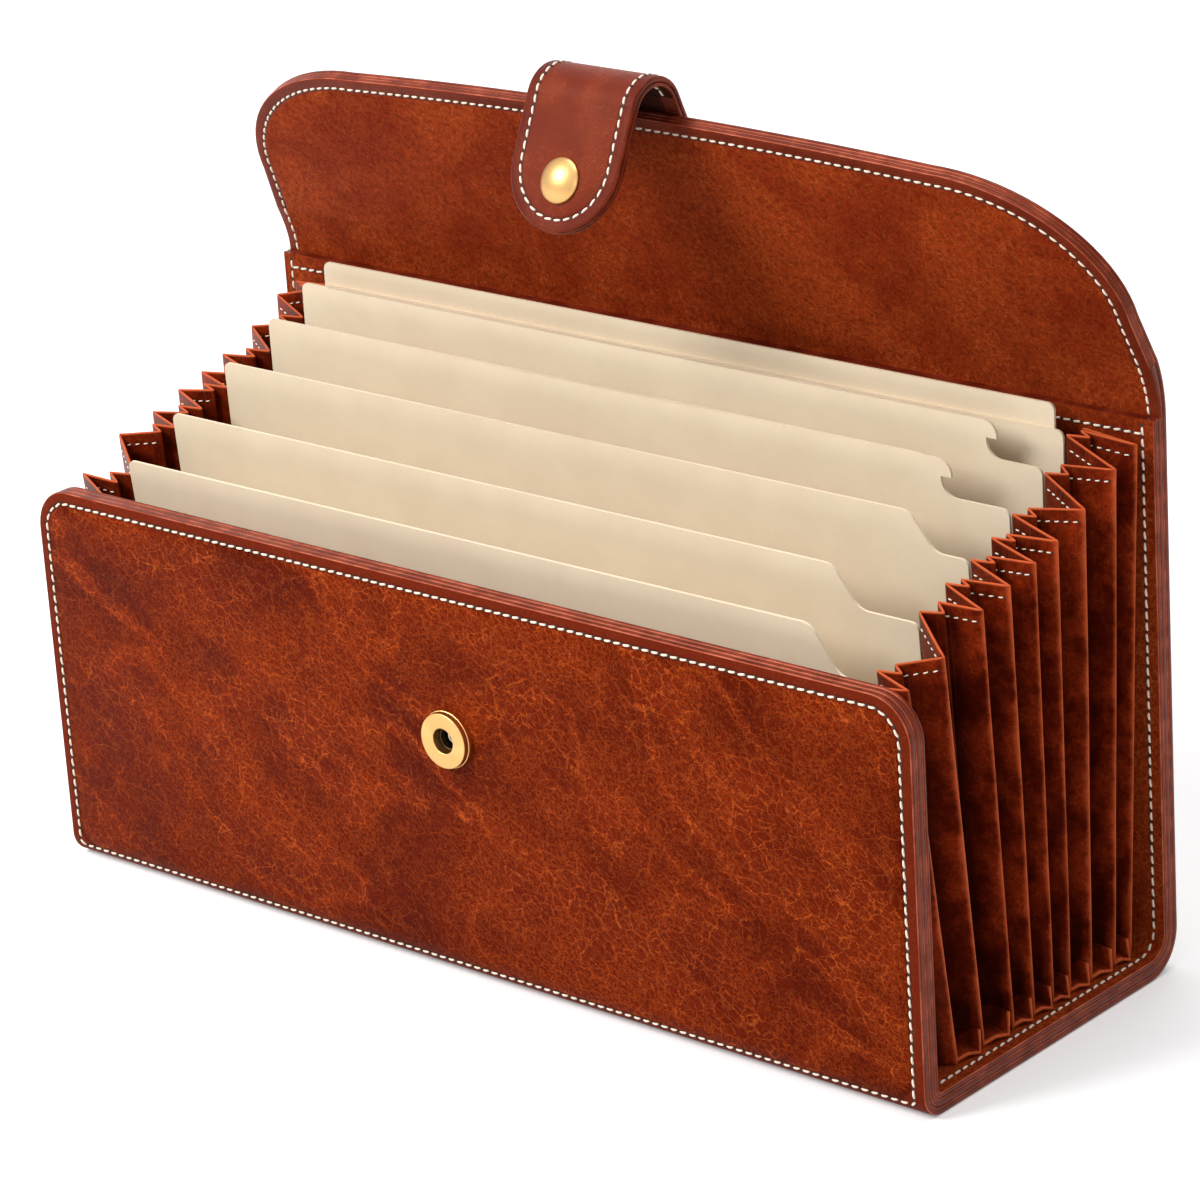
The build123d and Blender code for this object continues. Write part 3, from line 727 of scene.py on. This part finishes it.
def bellows(name, side):
    """A pleated end: panels folded from line to line, rounded at the folds and a little wavy between them."""
    lines = pleat_lines(side)
    columns = [(number, t) for number in range(len(lines) - 1) for t in PANEL_STEPS]
    columns.append((len(lines) - 2, 1.0))
    rest()
    bpy.ops.mesh.primitive_grid_add(size=1, x_subdivisions=len(columns) - 1,
                                    y_subdivisions=len(HEIGHT_STEPS) - 1)
    piece = bpy.context.object
    piece.name = name
    fold, below, above = (piece.data.attributes.new(key, "FLOAT", "POINT") for key in ("fold", "rim", "foot"))
    for index, point in enumerate(piece.data.vertices):
        number, t = columns[index % len(columns)]
        v = HEIGHT_STEPS[index // len(columns)]
        near, far = lines[number], lines[number + 1]
        out = near[2] + (far[2] - near[2]) * t
        rim = near[1].lerp(far[1], t)
        foot = near[0].lerp(far[0], t)
        spot = foot.lerp(rim, v)
        belly = math.sin(math.pi * t) * math.sin(math.pi * min(v * 1.3, 1.0))
        wave = noise.noise(Vector((number * 3.7 + side, v * 4.0, t * 2.0)))
        ripple = noise.noise(Vector((spot.y * 210, spot.z * 60, side)))
        spot.y += belly * 0.0007 * wave
        spot.x += (0.00045 if out > 0.99 else 0.0) + 0.00018 * ripple
        point.co = (side * spot.x, spot.y, spot.z)
        fold.data[index].value = out
        below.data[index].value = (rim - spot).length
        above.data[index].value = (spot - foot).length
    thick = piece.modifiers.new("leather wall", "SOLIDIFY")
    thick.thickness, thick.offset = 0.0007, 0.0
    round_folds = piece.modifiers.new("soft folds", "SUBSURF")
    round_folds.levels = round_folds.render_levels = 2
    for step in (thick.name, round_folds.name):
        bpy.ops.object.modifier_apply(modifier=step)
    tidy(piece)
    return piece


def drawn_mesh(name, work):
    """An object from a mesh drawn point by point."""
    mesh = bpy.data.meshes.new(name)
    work.to_mesh(mesh)
    work.free()
    piece = bpy.data.objects.new(name, mesh)
    bpy.context.collection.objects.link(piece)
    return piece


def foot_tucks(name, side):
    """The little folded shelves at the foot of the pleats, turned out to the base seam."""
    lines = fold_lines(side)
    work = bmesh.new()
    fold_out, below, above = (work.verts.layers.float.new(key) for key in ("fold", "rim", "foot"))
    for number in range(1, len(lines) - 2, 2):
        ridge, after = lines[number][0], lines[number + 2][0]
        made = []
        for x, along, up, outness in TUCK:
            point = work.verts.new((side * x, ridge.y + (after.y - ridge.y) * along, WALL + up))
            # How far out each point reads sets its painted shade or highlight
            point[fold_out], point[below], point[above] = outness, TUCK_BELOW_RIM, TUCK_ABOVE_FOOT
            made.append(point)
        for face in TUCK_FACES:
            work.faces.new([made[i] for i in face])
    piece = drawn_mesh(name, work)
    tidy(piece)
    take(piece)
    thick = piece.modifiers.new("leather wall", "SOLIDIFY")
    thick.thickness, thick.offset = 0.0008, 0.0
    bpy.ops.object.modifier_apply(modifier=thick.name)
    soft = piece.modifiers.new("soft edges", "BEVEL")
    soft.width, soft.segments = 0.0003, 3
    bpy.ops.object.modifier_apply(modifier=soft.name)
    return piece


ENDS = ((-1, "left"), (1, "right"))
for side, end in ENDS:
    piece = bellows("bellows_" + end, side)
    finished(piece, pleat_hide, "back", "gusset_" + end, angle=60)
    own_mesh(piece)
    piece = foot_tucks("bellows_feet_" + end, side)
    finished(piece, pleat_hide, "back", angle=50, slot="bellows_leather")
    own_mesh(piece)


# Flap

BORDER = SEAM_IN - 0.0004
# The steps of a sewn border: how far in, and how far down or up
BORDER_STEPS = ((BORDER - 0.0005, 0.0), (0.0005, -0.00022), (0.0007, 0.0003))
FLAP_FIELD, STRAP_FIELD = 0.005, 0.0003


def flap_sheet(name, low, high):
    """One layer of the flap: a plane with two rounded corners and a crowned edge, given its thickness."""
    squeeze = FLAP_CORNER_Y / FLAP_CORNER_X
    tall = FLAP_BROW - HINGE_REACH
    piece = plane(name, (0, HINGE_REACH + tall / 2, low), 2 * FLAP_HALF * squeeze, tall)
    opened(piece)
    choose(piece, "VERT", lambda v: is_at(v.co.y, FLAP_BROW))
    bpy.ops.mesh.bevel(offset=FLAP_CORNER_Y, segments=20, profile=0.5, affect="VERTICES", clamp_overlap=False)
    bpy.ops.mesh.select_all(action="SELECT")
    bpy.ops.transform.resize(value=(1 / squeeze, 1, 1), center_override=(0, 0, 0))
    choose(piece, "EDGE", lambda e: all(is_at(v.co.y, FLAP_BROW) for v in e.verts))
    bpy.ops.mesh.subdivide(number_cuts=23)
    mesh = bmesh.from_edit_mesh(piece.data)
    for point in mesh.verts:
        if is_at(point.co.y, FLAP_BROW) and abs(point.co.x) < FLAP_FLAT:
            point.co.y += FLAP_CROWN * (1 - (point.co.x / FLAP_FLAT) ** 2)
        elif is_at(point.co.y, HINGE_REACH):
            point.co.x *= HALF_WIDTH / FLAP_HALF
    bmesh.update_edit_mesh(piece.data)
    bpy.ops.mesh.select_all(action="SELECT")
    bpy.ops.mesh.extrude_region_move(TRANSFORM_OT_translate={"value": (0, 0, high - low)})
    tidy(piece)
    soften(piece, SOFT_SHARE * (high - low), lambda ends: all(is_at(p.y, HINGE_REACH) for p in ends))
    return piece


def sunk_border(piece, face_up, field_area, floor, open_end):
    """Insets a face for a sewn border: a smooth band, a narrow groove for the thread, and the field inside,
    which runs out to the end that is sewn on."""
    opened(piece)
    choose(piece, "FACE", lambda f: f.normal.z * face_up > 0.9 and f.calc_area() > field_area)
    for inset, depth in BORDER_STEPS:
        bpy.ops.mesh.inset(thickness=inset, depth=depth, use_even_offset=True)
        mesh = bmesh.from_edit_mesh(piece.data)
        points = [v for f in mesh.faces if f.select for v in f.verts]
        edge_y = open_end(v.co.y for v in points)
        for point in points:
            if is_at(point.co.y, edge_y):
                point.co.y = floor
        bmesh.update_edit_mesh(piece.data)
    opened(piece)
    bpy.ops.mesh.dissolve_degenerate(threshold=0.00001)
    rest()


def bent_strip(name, half, centre, start, up, inner, outer, turn):
    """A layer of a bend: its rounded section, spun from one way out of the centre through an angle."""
    piece = plane(name, (0, 0, 0), 2 * half, outer - inner)
    opened(piece)
    bpy.ops.mesh.bevel(offset=0.40 * (outer - inner), segments=3, profile=0.5, affect="VERTICES")
    put(piece, frame_of(centre + start * (inner + outer) / 2, (1, 0, 0), up))
    opened(piece)
    steps = max(10, round(math.degrees(turn) / 5))
    bpy.ops.mesh.spin(steps=steps, angle=-turn, center=tuple(centre), axis=(1, 0, 0))
    tidy(piece)
    for x in (SEAM_IN - half, half - SEAM_IN):
        opened(piece)
        bpy.ops.mesh.bisect(plane_co=(x, 0, 0), plane_no=(1, 0, 0))
    rest()
    return piece


def bend_flap(piece):
    """Bakes a piece of the flap's hinge where it stands, leaving its object at the origin."""
    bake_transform(piece)


low = -HINGE_WALL / 2
for layer, wall, hide, face_up in (("leather", FLAP_LEATHER, back_hide, -1),
                                   ("core", FLAP_BOARD, edge_paint, 0), ("lining", FLAP_LINING, suede, 1)):
    piece = flap_sheet("flap_" + layer + "_sheet", low, low + wall)
    if face_up:
        sunk_border(piece, face_up, FLAP_FIELD, HINGE_REACH, min)
    finished(piece, hide, None, "flap_" + layer)
    if face_up:
        paint(piece, border_hide, lambda f: f.area < FLAP_FIELD)
    paint(piece, edge_paint, lambda f: abs(f.normal.z) < RIM_TILT)
    # Paler paint on the rounded brows of the edges: a painted highlight
    paint(piece, edge_highlight_paint, lambda f: BROW_TILT[0] < math.hypot(f.normal.x, f.normal.y) < BROW_TILT[1])
    put(piece, FLAP)
    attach(piece, "flap")
    low += wall

for layer, low, high, hide, slot in (
        ("leather", HINGE_OUTSIDE - FLAP_LEATHER, HINGE_OUTSIDE, back_hide, "cover_leather"),
        ("lining", HINGE_INSIDE, HINGE_INSIDE + FLAP_LINING, suede, "suede_lining")):
    piece = bent_strip("hinge_" + layer, HALF_WIDTH, HINGE_CENTRE, BACKWARD, UPWARD, low, high, LEAN)
    # The lining's face swells to meet the flap's, which has a board inside
    for point in piece.data.vertices:
        way = point.co - Vector((point.co.x, HINGE_CENTRE.y, HINGE_CENTRE.z))
        if layer == "lining" and way.length < (low + high) / 2:
            point.co -= way.normalized() * FLAP_BOARD * eased(math.atan2(way.z, way.y) / LEAN)
    finished(piece, hide, None, "flap_hinge", slot=slot)
    paint(piece, border_hide, lambda f: abs(f.center.x) > EDGE_X)
    paint(piece, edge_paint, lambda f: abs(f.normal.x) > 0.5)
    bend_flap(piece)


# Strap

def strap_sheet(name, low_y, high_y, low_z, high_z, corner):
    """A flat length of the strap with its free end rounded."""
    piece = plane(name, (0, (low_y + high_y) / 2, low_z), 2 * STRAP_HALF, high_y - low_y)
    opened(piece)
    choose(piece, "VERT", lambda v: is_at(v.co.y, low_y))
    bpy.ops.mesh.bevel(offset=corner, segments=18, profile=0.5, affect="VERTICES", clamp_overlap=False)
    bpy.ops.mesh.select_all(action="SELECT")
    bpy.ops.mesh.remove_doubles(threshold=0.0002)
    bpy.ops.mesh.extrude_region_move(TRANSFORM_OT_translate={"value": (0, 0, high_z - low_z)})
    tidy(piece)
    soften(piece, 0.40 * (high_z - low_z), lambda ends: all(is_at(p.y, high_y) for p in ends))
    return piece


def bend_strap(piece):
    """Bakes a piece of the strap's bend where it stands, leaving its object at the origin."""
    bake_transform(piece)


half_wall = STRAP_WALL / 2
split = STRAP_LINING - half_wall
anchor_low, anchor_high = FLAP_LENGTH - STRAP_ANCHOR, FLAP_LENGTH + STRAP_RISE
anchor_split = STRAP_BACK + STRAP_LEATHER
tongue = (-STRAP_TONGUE, 0.0, STRAP_HALF * NEARLY_ROUND, TONGUE, "strap")
anchor = (anchor_low, anchor_high, ANCHOR_CORNER, FLAP, "flap")
for name, solid, hide, face_up, low_z, high_z, (low_y, high_y, corner, place, body) in (
        ("strap_tongue_leather", "strap_leather", strap_hide, 1, split, half_wall, tongue),
        ("strap_tongue_lining", "strap_lining", strap_back, -1, -half_wall, split, tongue),
        ("strap_anchor_leather", "strap_anchor", strap_hide, -1, STRAP_BACK, anchor_split, anchor),
        ("strap_anchor_lining", "strap_anchor", strap_back, 1, anchor_split, -HINGE_WALL / 2, anchor)):
    piece = strap_sheet(name, low_y, high_y, low_z, high_z, corner)
    sunk_border(piece, face_up, STRAP_FIELD, high_y, max)
    finished(piece, hide, None)
    paint(piece, strap_rim, lambda f: f.area < STRAP_FIELD)
    paint(piece, edge_paint, lambda f: abs(f.normal.z) < RIM_TILT)
    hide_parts(solid)
    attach(put(piece, place), body)
# The bend's lining takes the nearly black leather: painted shade inside the loop
for layer, inner, wall, hide in (
        ("leather", STRAP_BEND + half_wall - STRAP_LEATHER, STRAP_LEATHER, strap_hide),
        ("lining", STRAP_BEND - half_wall, STRAP_LINING, strap_back)):
    piece = bent_strip("strap_bend_" + layer, STRAP_HALF, BEND_CENTRE, -FLAP_IN, FLAP_UP, inner, inner + wall,
                       STRAP_TURN)
    finished(piece, hide, None, "strap_bend")
    if layer == "leather":
        paint(piece, strap_rim, lambda f: abs(f.center.x) > STRAP_HALF - SEAM_IN)
    paint(piece, edge_paint, lambda f: abs(f.normal.x) > 0.6)
    bend_strap(piece)


# Snap

# Millimetres, from the leather's face
CAP_RADIUS, CAP_RISE, CAP_TOP, CAP_SHOULDER = 5.6, 2.0, 2.7, 5.35
CAP_STEPS = 10
SPRING_RADIUS = 0.0021


def turned(name, outline):
    """A piece turned about Z from a section of (radius, height) points in millimetres."""
    rest()
    bpy.ops.mesh.primitive_circle_add(vertices=len(outline), radius=0.001, fill_type="NOTHING")
    piece = bpy.context.object
    piece.name = name
    for point, (radius, height) in zip(piece.data.vertices, outline):
        point.co = (radius * MM, 0, height * MM)
    opened(piece)
    bpy.ops.mesh.spin(steps=72, angle=2 * math.pi, center=(0, 0, 0), axis=(0, 0, 1))
    tidy(piece)
    return piece


def arc(centre, radius, first, last, count):
    """Points of (radius, height) round a corner, in degrees."""
    turns = [math.radians(first + (last - first) * i / count) for i in range(count + 1)]
    return [(centre[0] + radius * math.cos(t), centre[1] + radius * math.sin(t)) for t in turns]


ring = turned("snap_ring", [(3.1, 0.0), (7.35, 0.0), (7.35, 0.3), (7.2, 1.1), (7.05, 1.2)]
              + arc((6.62, 2.3), 0.30, 10, 90, 5) + arc((3.5, 2.2), 0.40, 90, 180, 4))
finished(put(ring, SOCKET), ring_brass, "front", "snap_socket_ring")
eyelet = turned("snap_eyelet", [(1.25, -6.9), (4.6, -6.9), (4.6, -6.2), (3.0, -6.2), (3.0, 0.2)]
                + arc((2.75, 0.2), 0.25, 0, 180, 6) + [(2.5, -3.6), (1.95, -3.8)]
                + arc((1.6, -1.5), 0.35, 0, 180, 6))
# The eyelet is dark as painted shade inside the hole
finished(put(eyelet, SOCKET), eyelet_shade_metal, "front", "snap_socket_eyelet")
paint(eyelet, nickel, lambda f: math.hypot(f.center.x, f.center.z - SNAP_Z) < SPRING_RADIUS)
dome = (CAP_RADIUS ** 2 + CAP_RISE ** 2) / (2 * CAP_RISE)
turns = [math.asin(CAP_SHOULDER / dome) * (1 - i / CAP_STEPS) for i in range(CAP_STEPS)]
slope = [(dome * math.sin(t), CAP_TOP - dome + dome * math.cos(t)) for t in turns]
cap = turned("snap_cap_dome", [(0.02, 0.0), (5.4, 0.0), (CAP_RADIUS, 0.18), (CAP_RADIUS, 0.62)] + slope
             + [(0.02, CAP_TOP)])
finished(put(cap, CAP), cap_brass, "strap", "snap_cap", angle=50)
for name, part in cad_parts.items():
    if name.startswith("divider") or name in ("snap_stud", "snap_socket_washer"):
        part.data.materials.clear()
        part.data.materials.append(card if name.startswith("divider") else nickel)


# Sewing

STITCH_SIZE = (0.00212, 0.00062, 0.00058)
STITCH_END, STITCH_LIFT, STITCH_DIP = 0.00111, 0.00010, 0.00022
HOLE_RADIUS, HOLE_LIFT = 0.00052, 0.00006
STITCH_SLANT = 7
HEM_DROP, HEM_LIFT, HEM_SIZE, HEM_PITCH = 0.0031, 0.0004, 0.60, 0.0022


def one_stitch():
    """The stitch that every seam repeats: a short plump loop of thread, and the needle hole at its end."""
    rest()
    bpy.ops.mesh.primitive_uv_sphere_add(segments=8, ring_count=6, radius=0.5)
    piece = bpy.context.object
    piece.name = "stitch"
    piece.rotation_euler = (0, math.pi / 2, 0)
    bpy.ops.object.transform_apply()
    piece.scale = STITCH_SIZE
    bpy.ops.object.transform_apply()
    for point in piece.data.vertices:
        along = point.co.x / STITCH_END
        full = math.sqrt(max(1 - along ** 6, 0.0)) if abs(along) < 0.999 else 0.0
        plain = math.sqrt(max(1 - along ** 2, 0.0))
        swell = full / plain if plain > 0.2 else 1.0
        point.co.y *= swell
        point.co.z = point.co.z * swell + STITCH_LIFT - STITCH_DIP * along * along
    rest()
    bpy.ops.mesh.primitive_circle_add(vertices=8, radius=HOLE_RADIUS, fill_type="NGON",
                                      location=(STITCH_PITCH / 2, 0, HOLE_LIFT))
    hole = bpy.context.object
    hole.scale = (0.8, 1.0, 1.0)
    bpy.ops.object.transform_apply()
    for part in (piece, hole):
        part.data.materials.append(thread)
        part.data.materials.append(hole_shade)
    for face in hole.data.polygons:
        face.material_index = 1
    piece.select_set(True)
    bpy.context.view_layer.objects.active = piece
    bpy.ops.object.join()
    return piece


pattern = one_stitch()
chance = random.Random(11)


def sew(name, runs, body=None, size=1.0, pitch=STITCH_PITCH):
    """Lays stitches along runs of (place, way out of the leather) points, no two quite the same."""
    work = bmesh.new()
    for run in runs:
        lengths = [0.0]
        for (a, _), (b, _) in zip(run, run[1:]):
            lengths.append(lengths[-1] + (b - a).length)
        count = max(1, round(lengths[-1] / pitch))
        for number in range(count):
            reach = (number + 0.5) * lengths[-1] / count
            k = max(i for i in range(len(run) - 1) if lengths[i] <= reach)
            share = (reach - lengths[k]) / max(lengths[k + 1] - lengths[k], 1e-9)
            spot = run[k][0].lerp(run[k + 1][0], share)
            out = run[k][1].lerp(run[k + 1][1], share)
            way = run[k + 1][0] - run[k][0]
            place = frame_of(spot, way - out * way.dot(out), out)
            turn = Matrix.Rotation(math.radians(STITCH_SLANT + chance.uniform(-3, 3)), 4, "Z")
            grow = Matrix.Diagonal((size * chance.uniform(0.95, 1.05), size, size, 1.0))
            before = len(work.verts)
            work.from_mesh(pattern.data)
            work.verts.ensure_lookup_table()
            bmesh.ops.transform(work, matrix=place @ turn @ grow, verts=work.verts[before:])
    piece = drawn_mesh(name, work)
    piece.data.materials.append(thread)
    piece.data.materials.append(hole_shade)
    take(piece)
    bpy.ops.object.shade_smooth()
    if body:
        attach(piece, body)
    return piece


def round_line(points, radii, closed=False, steps=8):
    """A line through flat points with its corners rounded."""
    made = []
    count = len(points)
    for i, (point, radius) in enumerate(zip(points, radii)):
        here = Vector(point)
        if radius <= 0 or (not closed and i in (0, count - 1)):
            made.append(here)
            continue
        before = (Vector(points[i - 1]) - here).normalized()
        after = (Vector(points[(i + 1) % count]) - here).normalized()
        for k in range(steps + 1):
            t = k / steps * math.pi / 2
            made.append(here + before * radius * (1 - math.sin(t)) + after * radius * (1 - math.cos(t)))
    if closed:
        made.append(made[0].copy())
    return made


def on_cover(flat, face, inward, bend):
    """Points of (x, z) laid on a cover's face and round its lower bend, with the way out of the leather."""
    close = [flat[0]]
    for near, far in zip(flat, flat[1:]):
        steps = max(1, math.ceil((far - near).length / (STITCH_PITCH / 2)))
        close += [near.lerp(far, i / steps) for i in range(1, steps + 1)]
    run = []
    for x, z in close:
        t = math.asin(min(max(bend - z, 0.0) / bend, 1.0))
        run.append((Vector((x, face + inward * bend * (1 - math.cos(t)), z)),
                    Vector((0, -inward * math.cos(t), -math.sin(t)))))
    return run


def round_bend(centre, first, second, turn, steps, radius, out, swell=0.0):
    """A run round a bend, from the first way out of its centre towards the second."""
    run = []
    for i in range(steps + 1):
        t = turn * i / steps
        way = first * math.cos(t) + second * math.sin(t)
        run.append((centre + way * (radius - swell * eased(i / steps)), way * out))
    return run


def straight(points, out):
    """A run of points on one flat face."""
    return [(Vector(point), Vector(out)) for point in points]


top_z = FRONT_TOP - SEAM_IN
front_line = round_line([(-EDGE_X, SEAM_LOW), (-EDGE_X, top_z), (EDGE_X, top_z), (EDGE_X, SEAM_LOW)],
                        [0.0015, SEAM_CORNER, SEAM_CORNER, 0.0015], closed=True)
sew("front_seam", [on_cover(front_line, FRONT_Y, 1, FRONT_BEND)], "front")
front_line = round_line([(-EDGE_X, 0.008), (-EDGE_X, top_z), (EDGE_X, top_z), (EDGE_X, 0.008)],
                        [0, SEAM_CORNER, SEAM_CORNER, 0])
sew("front_lining_seam", [straight([(x, FRONT_IN, z) for x, z in front_line], (0, 1, 0))], "front")
back_line = round_line([(-EDGE_X, BACK_TOP), (-EDGE_X, SEAM_LOW), (EDGE_X, SEAM_LOW), (EDGE_X, BACK_TOP)],
                       [0, 0.002, 0.002, 0])
sew("back_seam", [on_cover(back_line, BACK_Y, -1, BACK_BEND)], "back")

runs = []
for side, _ in ENDS:
    run = round_bend(Vector((side * EDGE_X, BASE_BACK, BACK_BEND)), -UPWARD, BACKWARD, math.pi / 2, 8,
                     BACK_BEND - WALL, -1)
    runs.append(run + straight([(side * EDGE_X, BACK_IN, BACK_TOP - 0.0015)], (0, -1, 0)))
runs.append(straight([(side * EDGE_X, BACK_IN, BACK_TOP - 0.0036) for side, _ in ENDS], (0, -1, 0)))
sew("back_lining_seam", runs, "back")
floor_runs = [straight([(side * EDGE_X, y, WALL) for y in (BASE_FRONT, BASE_BACK)], UPWARD)
              for side, _ in ENDS]
floor_seam = sew("base_seam", floor_runs, "back")
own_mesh(floor_seam)


def flap_line():
    """The seam round the flap, a little inside its outline, from one end of the hinge to the other."""
    spring = FLAP_BROW - FLAP_CORNER_Y
    right = [Vector((EDGE_X, HINGE_REACH)), Vector((FLAP_HALF - SEAM_IN, spring))]
    for i in range(1, 25):
        t = math.pi / 2 * i / 24
        normal = Vector((math.cos(t) / FLAP_CORNER_X, math.sin(t) / FLAP_CORNER_Y)).normalized()
        corner = Vector((FLAP_FLAT + FLAP_CORNER_X * math.cos(t), spring + FLAP_CORNER_Y * math.sin(t)))
        right.append(corner - normal * SEAM_IN)
    for i in range(1, 13):
        x = FLAP_FLAT * (1 - i / 12)
        right.append(Vector((x, FLAP_BROW + FLAP_CROWN * (1 - (x / FLAP_FLAT) ** 2) - SEAM_IN)))
    return right + [Vector((-p.x, p.y)) for p in reversed(right[:-1])]


def on_sheet(line, place, height, out):
    """Points of (x, y) laid on a flat sheet that was drawn at the origin and then moved to its place."""
    way = place.to_3x3() @ Vector((0, 0, out))
    return [(place @ Vector((x, y, height)), way) for x, y in line]


lining_face = FLAP_LEATHER + FLAP_BOARD + FLAP_LINING - HINGE_WALL / 2
sew("flap_lining_seam", [on_sheet(flap_line(), FLAP, lining_face - THREAD_SUNK, 1)], "flap")
sew("flap_leather_seam", [on_sheet(flap_line(), FLAP, THREAD_SUNK - HINGE_WALL / 2, -1)], "flap")
hinge_runs = [round_bend(HINGE_CENTRE + FLAP_X * side * EDGE_X, BACKWARD, UPWARD, LEAN, 8, radius, out, swell)
              for side, _ in ENDS
              for radius, out, swell in ((HINGE_INSIDE, -1, FLAP_BOARD), (HINGE_OUTSIDE, 1, 0.0))]
bend_flap(sew("hinge_seam", hinge_runs))

strap_x = STRAP_HALF - SEAM_IN
tongue_tip, anchor_tip = SEAM_IN - STRAP_TONGUE, anchor_low + SEAM_IN
tongue_line = round_line([(-strap_x, 0), (-strap_x, tongue_tip), (strap_x, tongue_tip), (strap_x, 0)],
                         [0, strap_x * NEARLY_ROUND, strap_x * NEARLY_ROUND, 0], steps=14)
anchor_line = round_line([(-strap_x, anchor_high), (-strap_x, anchor_tip), (strap_x, anchor_tip),
                          (strap_x, anchor_high)], [0, ANCHOR_SEAM_CORNER, ANCHOR_SEAM_CORNER, 0])
for name, line, place, height, out, body in (
        ("strap_tongue_seam", tongue_line, TONGUE, half_wall - THREAD_SUNK, 1, "strap"),
        ("strap_lining_seam", tongue_line, TONGUE, THREAD_SUNK - half_wall, -1, "strap"),
        ("strap_anchor_seam", anchor_line, FLAP, STRAP_BACK + THREAD_SUNK, -1, "flap")):
    sew(name, [on_sheet(line, place, height, out)], body)
bend_runs = [round_bend(BEND_CENTRE + FLAP_X * x, -FLAP_IN, FLAP_UP, STRAP_TURN, 18,
                        STRAP_BEND + out * half_wall, out)
             for x in (-strap_x, strap_x) for out in (1, -1)]
bend_strap(sew("strap_bend_seam", bend_runs))


def hem_runs(side):
    """Seams under the rim of the bellows, on both faces of each wide panel."""
    runs = []
    lines = pleat_lines(side)
    for near, far in zip(lines, lines[1:]):
        if abs(near[2] - far[2]) < 0.65:
            continue
        foot_a, rim_a, foot_b, rim_b = (Vector((side * p.x, p.y, p.z)) for p in (*near[:2], *far[:2]))
        down_a = rim_a + (foot_a - rim_a).normalized() * HEM_DROP
        down_b = rim_b + (foot_b - rim_b).normalized() * HEM_DROP
        out = (down_b - down_a).cross(rim_a - foot_a).normalized()
        for way in (out, -out):
            runs.append([(down_a.lerp(down_b, share) + way * HEM_LIFT, way) for share in (0.10, 0.92)])
    return runs


for side, end in ENDS:
    hems = sew("bellows_hems_" + end, hem_runs(side), "back", size=HEM_SIZE, pitch=HEM_PITCH)
    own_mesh(hems)
bpy.data.objects.remove(pattern)


# Studio

WHITE = hue("#ffffff")
# How the floor turns to plain white: from and to these distances in metres, and with these strengths
FLOOR_FADE = (0.45, 1.3, 0.22, 0.9)
ROOM_LIGHT, BACKDROP = 0.31, 1.0


def sheet_of_light(name, place, aim, size, power):
    """A white lamp of this size in metres and power in watts, turned to what it lights."""
    light = bpy.data.lights.new(name, "AREA")
    light.energy, light.shape, light.size, light.size_y = power, "RECTANGLE", *size
    holder = bpy.data.objects.new(name, light)
    bpy.context.collection.objects.link(holder)
    holder.location = place
    holder.rotation_euler = (Vector(aim) - Vector(place)).to_track_quat("-Z", "Y").to_euler()


def seen(tree):
    """One for a ray from the camera, or one that a shiny or clear surface sends on, and nought for others."""
    path = node(tree, "LightPath").node.outputs
    bent = node(tree, "Math", path["Is Glossy Ray"], path["Is Transmission Ray"], **LARGER)
    return node(tree, "Math", path["Is Camera Ray"], bent, **LARGER)


sheet_of_light("key", (-0.55, -0.95, 1.05), (0, 0, 0.08), (0.7, 0.7), 22.0)
sheet_of_light("fill", (1.1, -0.9, 0.7), (0, 0, 0.08), (0.6, 0.6), 2.5)
sheet_of_light("top", (0.1, 0.2, 1.4), (0, 0, 0.1), (1.0, 0.8), 11.0)

rest()
bpy.ops.mesh.primitive_plane_add(size=8, location=(0, 0, 0))
floor = bpy.context.object
floor.name = "floor"
made, tree, shader, place = new_material("pale_floor")
reach = node(tree, "VectorMath", place, operation="LENGTH")
fade = node(tree, "MapRange", reach, *FLOOR_FADE, **SMOOTH)
wire(tree, shader, {
    "Base Color": hue("#f6f6f6"),
    "Roughness": 0.6,
    "Specular IOR Level": 0.15,
    "Emission Color": WHITE,
    "Emission Strength": node(tree, "Math", fade, seen(tree), **TIMES)})
floor.data.materials.append(made)

world = bpy.data.worlds.new("studio")
bpy.context.scene.world = world
world.use_nodes = True
tree = world.node_tree
wire(tree, tree.nodes["Background"], {
    "Color": WHITE,
    "Strength": node(tree, "MapRange", seen(tree), 0.0, 1.0, ROOM_LIGHT, BACKDROP, **SMOOTH)})

# Camera, fitted to nine points of the folder in the photograph: angles in radians, lengths in folder widths
VIEW_TURN, VIEW_TILT, VIEW_ROLL = 0.733691, 0.357092, -0.065457
VIEW_FAR, AIM_X, AIM_Z = 4.18058, 0.021144, 0.300393
SENSOR, FOCAL_PIXELS, PHOTO_PIXELS = 36.0, 4778.39, 1200
width = 2 * HALF_WIDTH
away = Vector((math.sin(VIEW_TURN) * math.cos(VIEW_TILT), -math.cos(VIEW_TURN) * math.cos(VIEW_TILT),
               math.sin(VIEW_TILT)))
level_right = Vector((0, 0, 1)).cross(away).normalized()
level_up = away.cross(level_right)
right = level_right * math.cos(VIEW_ROLL) + level_up * math.sin(VIEW_ROLL)
lens = bpy.data.cameras.new("camera")
lens.sensor_width, lens.lens = SENSOR, SENSOR * FOCAL_PIXELS / PHOTO_PIXELS
lens.clip_start, lens.clip_end = 0.01, 50
camera = bpy.data.objects.new("camera", lens)
bpy.context.collection.objects.link(camera)
aim = Vector((AIM_X * width, 0, AIM_Z * width))
camera.matrix_world = frame_of(aim + away * VIEW_FAR * width, right, away)
bpy.context.scene.camera = camera
bpy.context.scene.view_settings.view_transform = "Standard"
